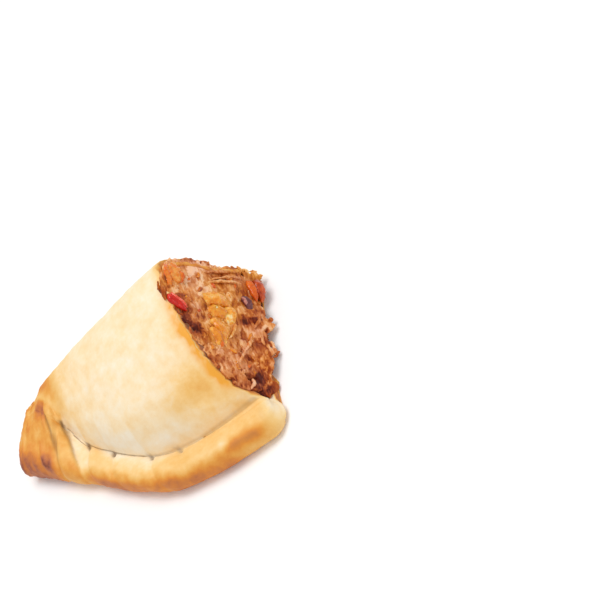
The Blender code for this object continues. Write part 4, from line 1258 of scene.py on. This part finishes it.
# Onion: two pieces of stewed onion, each of curved layers that have slid apart, golden and
# translucent, lying over the crumbs.
ONION_COLOURS = (
    (0.0, "8A3404"), (0.25, "C8660E"), (0.5, "E4881C"), (0.7, "F2A236"), (0.85, "F8BE66"), (1.0, "FEE0A8"),
)
onion_material = wet_food("stewed onion", ONION_COLOURS, 0.26, 1.6 * MM, 0.22, 0.35,
                          (1.0, 0.5, 0.15), 0.15 * MM)
onion_upper = strips_object("onion_layers_upper", onion_material, (
    strip(0.70, 51, ((-18.8, 20.8, -0.4), (-16.2, 19.0, 0.2), (-15.4, 16.2, 0.5), (-16.2, 13.6, 0.3),
                     (-18.6, 11.8, -0.3)),
          (3.0, 5.6, 6.4, 5.0, 2.6), (1.6, 2.2, 2.4, 2.2, 1.6), lean=-0.25, cup=0.3, rough=0.45),
    strip(0.76, 55, ((-17.2, 13.4, -0.1), (-19.6, 12.9, 0.5), (-22.0, 12.9, 0.5), (-25.0, 12.6, -0.2)),
          (2.4, 4.0, 3.8, 2.2), (1.5, 2.0, 2.0, 1.4), lean=0.25, cup=0.2, rough=0.4),
    strip(0.62, 53, ((-20.6, 19.4, -0.2), (-20.4, 17.4, 0.3), (-20.8, 15.2, 0.4), (-22.4, 13.8, -0.1)),
          (2.4, 4.0, 3.8, 2.2), (1.4, 2.0, 2.0, 1.4), lean=0.3, rough=0.4),
    # The small near-white strip on top is a painted highlight
    strip(0.98, 57, ((-19.9, 17.9, 0.6), (-19.4, 17.0, 1.1), (-19.1, 16.0, 0.7)),
          (0.8, 1.2, 0.4), (0.8, 1.0, 0.4), rough=0.2),
))
onion_lower = strips_object("onion_layers_lower", onion_material, (
    strip(0.66, 61, ((-24.6, 19.2, -0.2), (-24.6, 17.2, 0.4), (-26.4, 15.4, 0.6), (-29.2, 14.8, 0.4),
                     (-32.0, 14.8, -0.1)),
          (2.2, 3.6, 3.8, 3.0, 1.8), (1.4, 1.9, 1.9, 1.6, 1.2), lean=-0.2, cup=0.2, rough=0.4),
    strip(0.58, 63, ((-28.2, 19.4, -0.2), (-28.2, 17.8, 0.3), (-30.2, 16.8, 0.4), (-33.0, 16.8, -0.2)),
          (2.0, 3.2, 3.0, 1.8), (1.4, 1.8, 1.6, 1.2), lean=0.2, rough=0.35),
))
for piece, node in ((onion_upper, "onion_upper"), (onion_lower, "onion_lower")):
    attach(piece, "root")
    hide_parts(node)

# Bits in the mince: strands of meat and onion, a dark scrap of fried onion by the fold, and
# small pieces of pepper and onion strewn among the crumbs. Each strand has a spine, a width
# and a tone.
MEAT_STRANDS = (
    (((-10.2, 18.6, 0.6), (-9.4, 15.4, 1.2), (-8.6, 11.8, 1.2), (-7.8, 8.2, 0.6)), 0.9, 0.76),
    (((-9.0, 18.0, 0.5), (-7.6, 14.6, 1.0), (-6.4, 11.0, 1.0), (-5.6, 7.6, 0.5)), 0.8, 0.66),
    (((-7.6, 21.8, 0.6), (-6.0, 17.0, 0.9), (-4.6, 12.6, 0.8), (-3.6, 9.0, 0.5)), 1.0, 0.56),
    (((-30.0, 13.6, 0.6), (-26.6, 12.2, 1.1), (-23.6, 11.4, 0.6)), 0.8, 0.70),
    (((-33.8, 9.8, 0.6), (-30.2, 8.0, 1.1), (-27.0, 7.2, 0.6)), 0.9, 0.68),
    (((-39.0, 12.6, 0.6), (-35.6, 10.4, 1.1), (-32.4, 9.4, 0.6)), 0.8, 0.66),
    (((-24.4, 6.4, 0.8), (-20.6, 4.6, 1.4), (-17.0, 4.2, 0.8)), 0.9, 0.62),
    # The palest strand, at the low end, is a painted highlight
    (((-46.6, 8.8, 0.8), (-44.9, 8.1, 1.5), (-43.0, 8.3, 0.9)), 1.1, 1.1),
    (((-20.0, 30.9, -0.2), (-16.0, 31.0, -0.1), (-12.0, 30.9, -0.4), (-8.0, 30.4, -1.0)), 2.4, 0.62),
    (((-17.4, 31.6, -0.9), (-13.8, 31.6, -1.1), (-10.0, 31.2, -1.8)), 1.5, 0.42),
    (((-13.0, 30.2, 0.3), (-9.4, 30.4, 0.2), (-5.8, 29.2, -0.2)), 1.2, 0.8),
)
meat_strands = strips_object("meat_strands", mince, [
    strip(tone, 71 + index, spine, (0.6 * wide, wide, wide, 0.6 * wide), (0.7, 0.9, 0.9, 0.7), rough=0.3)
    for index, (spine, wide, tone) in enumerate(MEAT_STRANDS)])
stain(meat_strands.data, 0.05)

# A sliver of the crust that stayed at the fold when the edge tore, browned like the edge
edge_sliver = strips_object("crust_edge_fold", dough, [
    strip(0.5, 91, ((-8.8, 30.0, -0.2), (-6.2, 28.0, -0.1), (-4.9, 23.6, 0.0), (-4.9, 18.0, 0.0),
                    (-4.0, 12.0, 0.1), (-2.2, 7.0, 0.2)),
          (0.8, 1.2, 1.4, 1.5, 1.8, 1.4), (1.4, 1.8, 1.8, 1.8, 1.8, 1.2), rough=0.4)])
sliver_grain = grain(read(edge_sliver.data.vertices, "co", 3), 2.0 * MM, seed=92)
store(edge_sliver.data, "bake", 0.64 + 0.3 * sliver_grain)
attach(edge_sliver, "root")

# Fried onion scrap: a charred skin, dark violet-brown, with a paler strip painted along its curl as a
# highlight.
SCRAP_COLOURS = ((0.0, "4A1A1E"), (0.35, "6E3234"), (0.6, "945248"), (0.8, "C88070"), (1.0, "ECB0A0"))
scrap_material = wet_food("fried onion scrap", SCRAP_COLOURS, 0.2, 1.2 * MM, 0.28, 0.1,
                          (1.0, 0.4, 0.3), 0.15 * MM)
scrap = strips_object("onion_scrap", scrap_material, (
    strip(0.3, 81, ((-12.6, 8.6, 0.4), (-14.6, 7.6, 1.0), (-17.0, 6.4, 0.4)),
          (1.8, 3.0, 1.8), (1.2, 1.6, 1.2), rough=0.3),
    # The paler strip along the curl is a painted highlight
    strip(0.85, 83, ((-13.4, 9.2, 1.0), (-14.8, 8.4, 1.5), (-16.2, 7.8, 1.0)),
          (0.6, 0.9, 0.6), (0.7, 0.8, 0.7), rough=0.2),
))
pepper_bits = strew("pepper_bits", orange_material, 31, 2.0, 0.1, (7.5, 0.35, 0.65, 1.2, 0.8),
                    (2.0, 0.6, 0.3, 0.0, 6.28, 0.2, 0.6))
onion_bits = strew("onion_bits", onion_material, 33, 1.6, -0.1, (5.6, 0.45, 1.0, 1.6, 1.2),
                   (2.2, 0.5, 0.3, -0.9, 0.9, 0.20, 0.50))
for piece, slot in ((meat_strands, "filling"), (scrap, "filling"), (pepper_bits, "filling"),
                    (onion_bits, "filling")):
    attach(piece, "root")

# Studio: a white table under soft white light, seen by the photograph's camera. The table
# is matt, so it shows only the soft shadow.
FLOOR_SIZE = 6.0
SKY_STRENGTH = 0.62
CAMERA_AZIMUTH = math.radians(24.69)
CAMERA_ELEVATION = math.radians(42.866)
CAMERA_ROLL = math.radians(-47.436)
CAMERA_DISTANCE = 650 * MM
AIM = Vector((-35.264, -30.899, 12.978)) * MM
AIM_PIXEL = (151.786, 389.721)
IMAGE_SIZE = 600
FOCAL_PIXELS = 2242.382

table_white = new_material("matt white table", Roughness=0.9, Base_Color=linear("FFFFFF"))[0]
floor_mesh = bpy.data.meshes.new("floor")
half = FLOOR_SIZE / 2
corners = [(-half, -half, 0), (half, -half, 0), (half, half, 0), (-half, half, 0)]
floor_mesh.from_pydata(corners, [], [(0, 1, 2, 3)])
floor_mesh.materials.append(table_white)
floor = new_object("floor", floor_mesh)

world = bpy.data.worlds.new("studio")
world.use_nodes = True
sky = world.node_tree.nodes["Background"]
sky.inputs["Color"].default_value = linear("FFFFFF")
sky.inputs["Strength"].default_value = SKY_STRENGTH
bpy.context.scene.world = world


def area_light(name, direction, distance, size, power):
    """Square soft box aimed at the object from a direction."""
    data = bpy.data.lights.new(name, "AREA")
    data.size = size
    data.energy = power
    lamp = new_object(name, data)
    toward = Vector(direction).normalized()
    lamp.location = toward * distance
    lamp.rotation_euler = toward.to_track_quat("Z", "Y").to_euler()


area_light("key", (-0.06, 0.2, 1.0), 0.9, 0.55, 4.0)
area_light("fill", (0.6, -0.8, 0.7), 1.2, 0.8, 1.4)

side = Vector((math.cos(CAMERA_AZIMUTH), math.sin(CAMERA_AZIMUTH), 0))
back = Vector((
    math.sin(CAMERA_AZIMUTH) * math.cos(CAMERA_ELEVATION),
    -math.cos(CAMERA_AZIMUTH) * math.cos(CAMERA_ELEVATION),
    math.sin(CAMERA_ELEVATION),
))
upright = back.cross(side)
right = side * math.cos(CAMERA_ROLL) + upright * math.sin(CAMERA_ROLL)
up = upright * math.cos(CAMERA_ROLL) - side * math.sin(CAMERA_ROLL)
off_right = (AIM_PIXEL[0] - IMAGE_SIZE / 2) / FOCAL_PIXELS * CAMERA_DISTANCE
off_up = (IMAGE_SIZE / 2 - AIM_PIXEL[1]) / FOCAL_PIXELS * CAMERA_DISTANCE
lens = bpy.data.cameras.new("camera")
lens.sensor_fit = "HORIZONTAL"
lens.angle = 2 * math.atan(IMAGE_SIZE / 2 / FOCAL_PIXELS)
camera = new_object("camera", lens)
spot = AIM + Vector(TO_PART) - right * off_right - up * off_up + back * CAMERA_DISTANCE
turn = Matrix((right, up, back)).transposed().to_4x4()
camera.matrix_world = Matrix.Translation(spot) @ turn
bpy.context.scene.camera = camera
bpy.context.scene.view_settings.view_transform = "Standard"
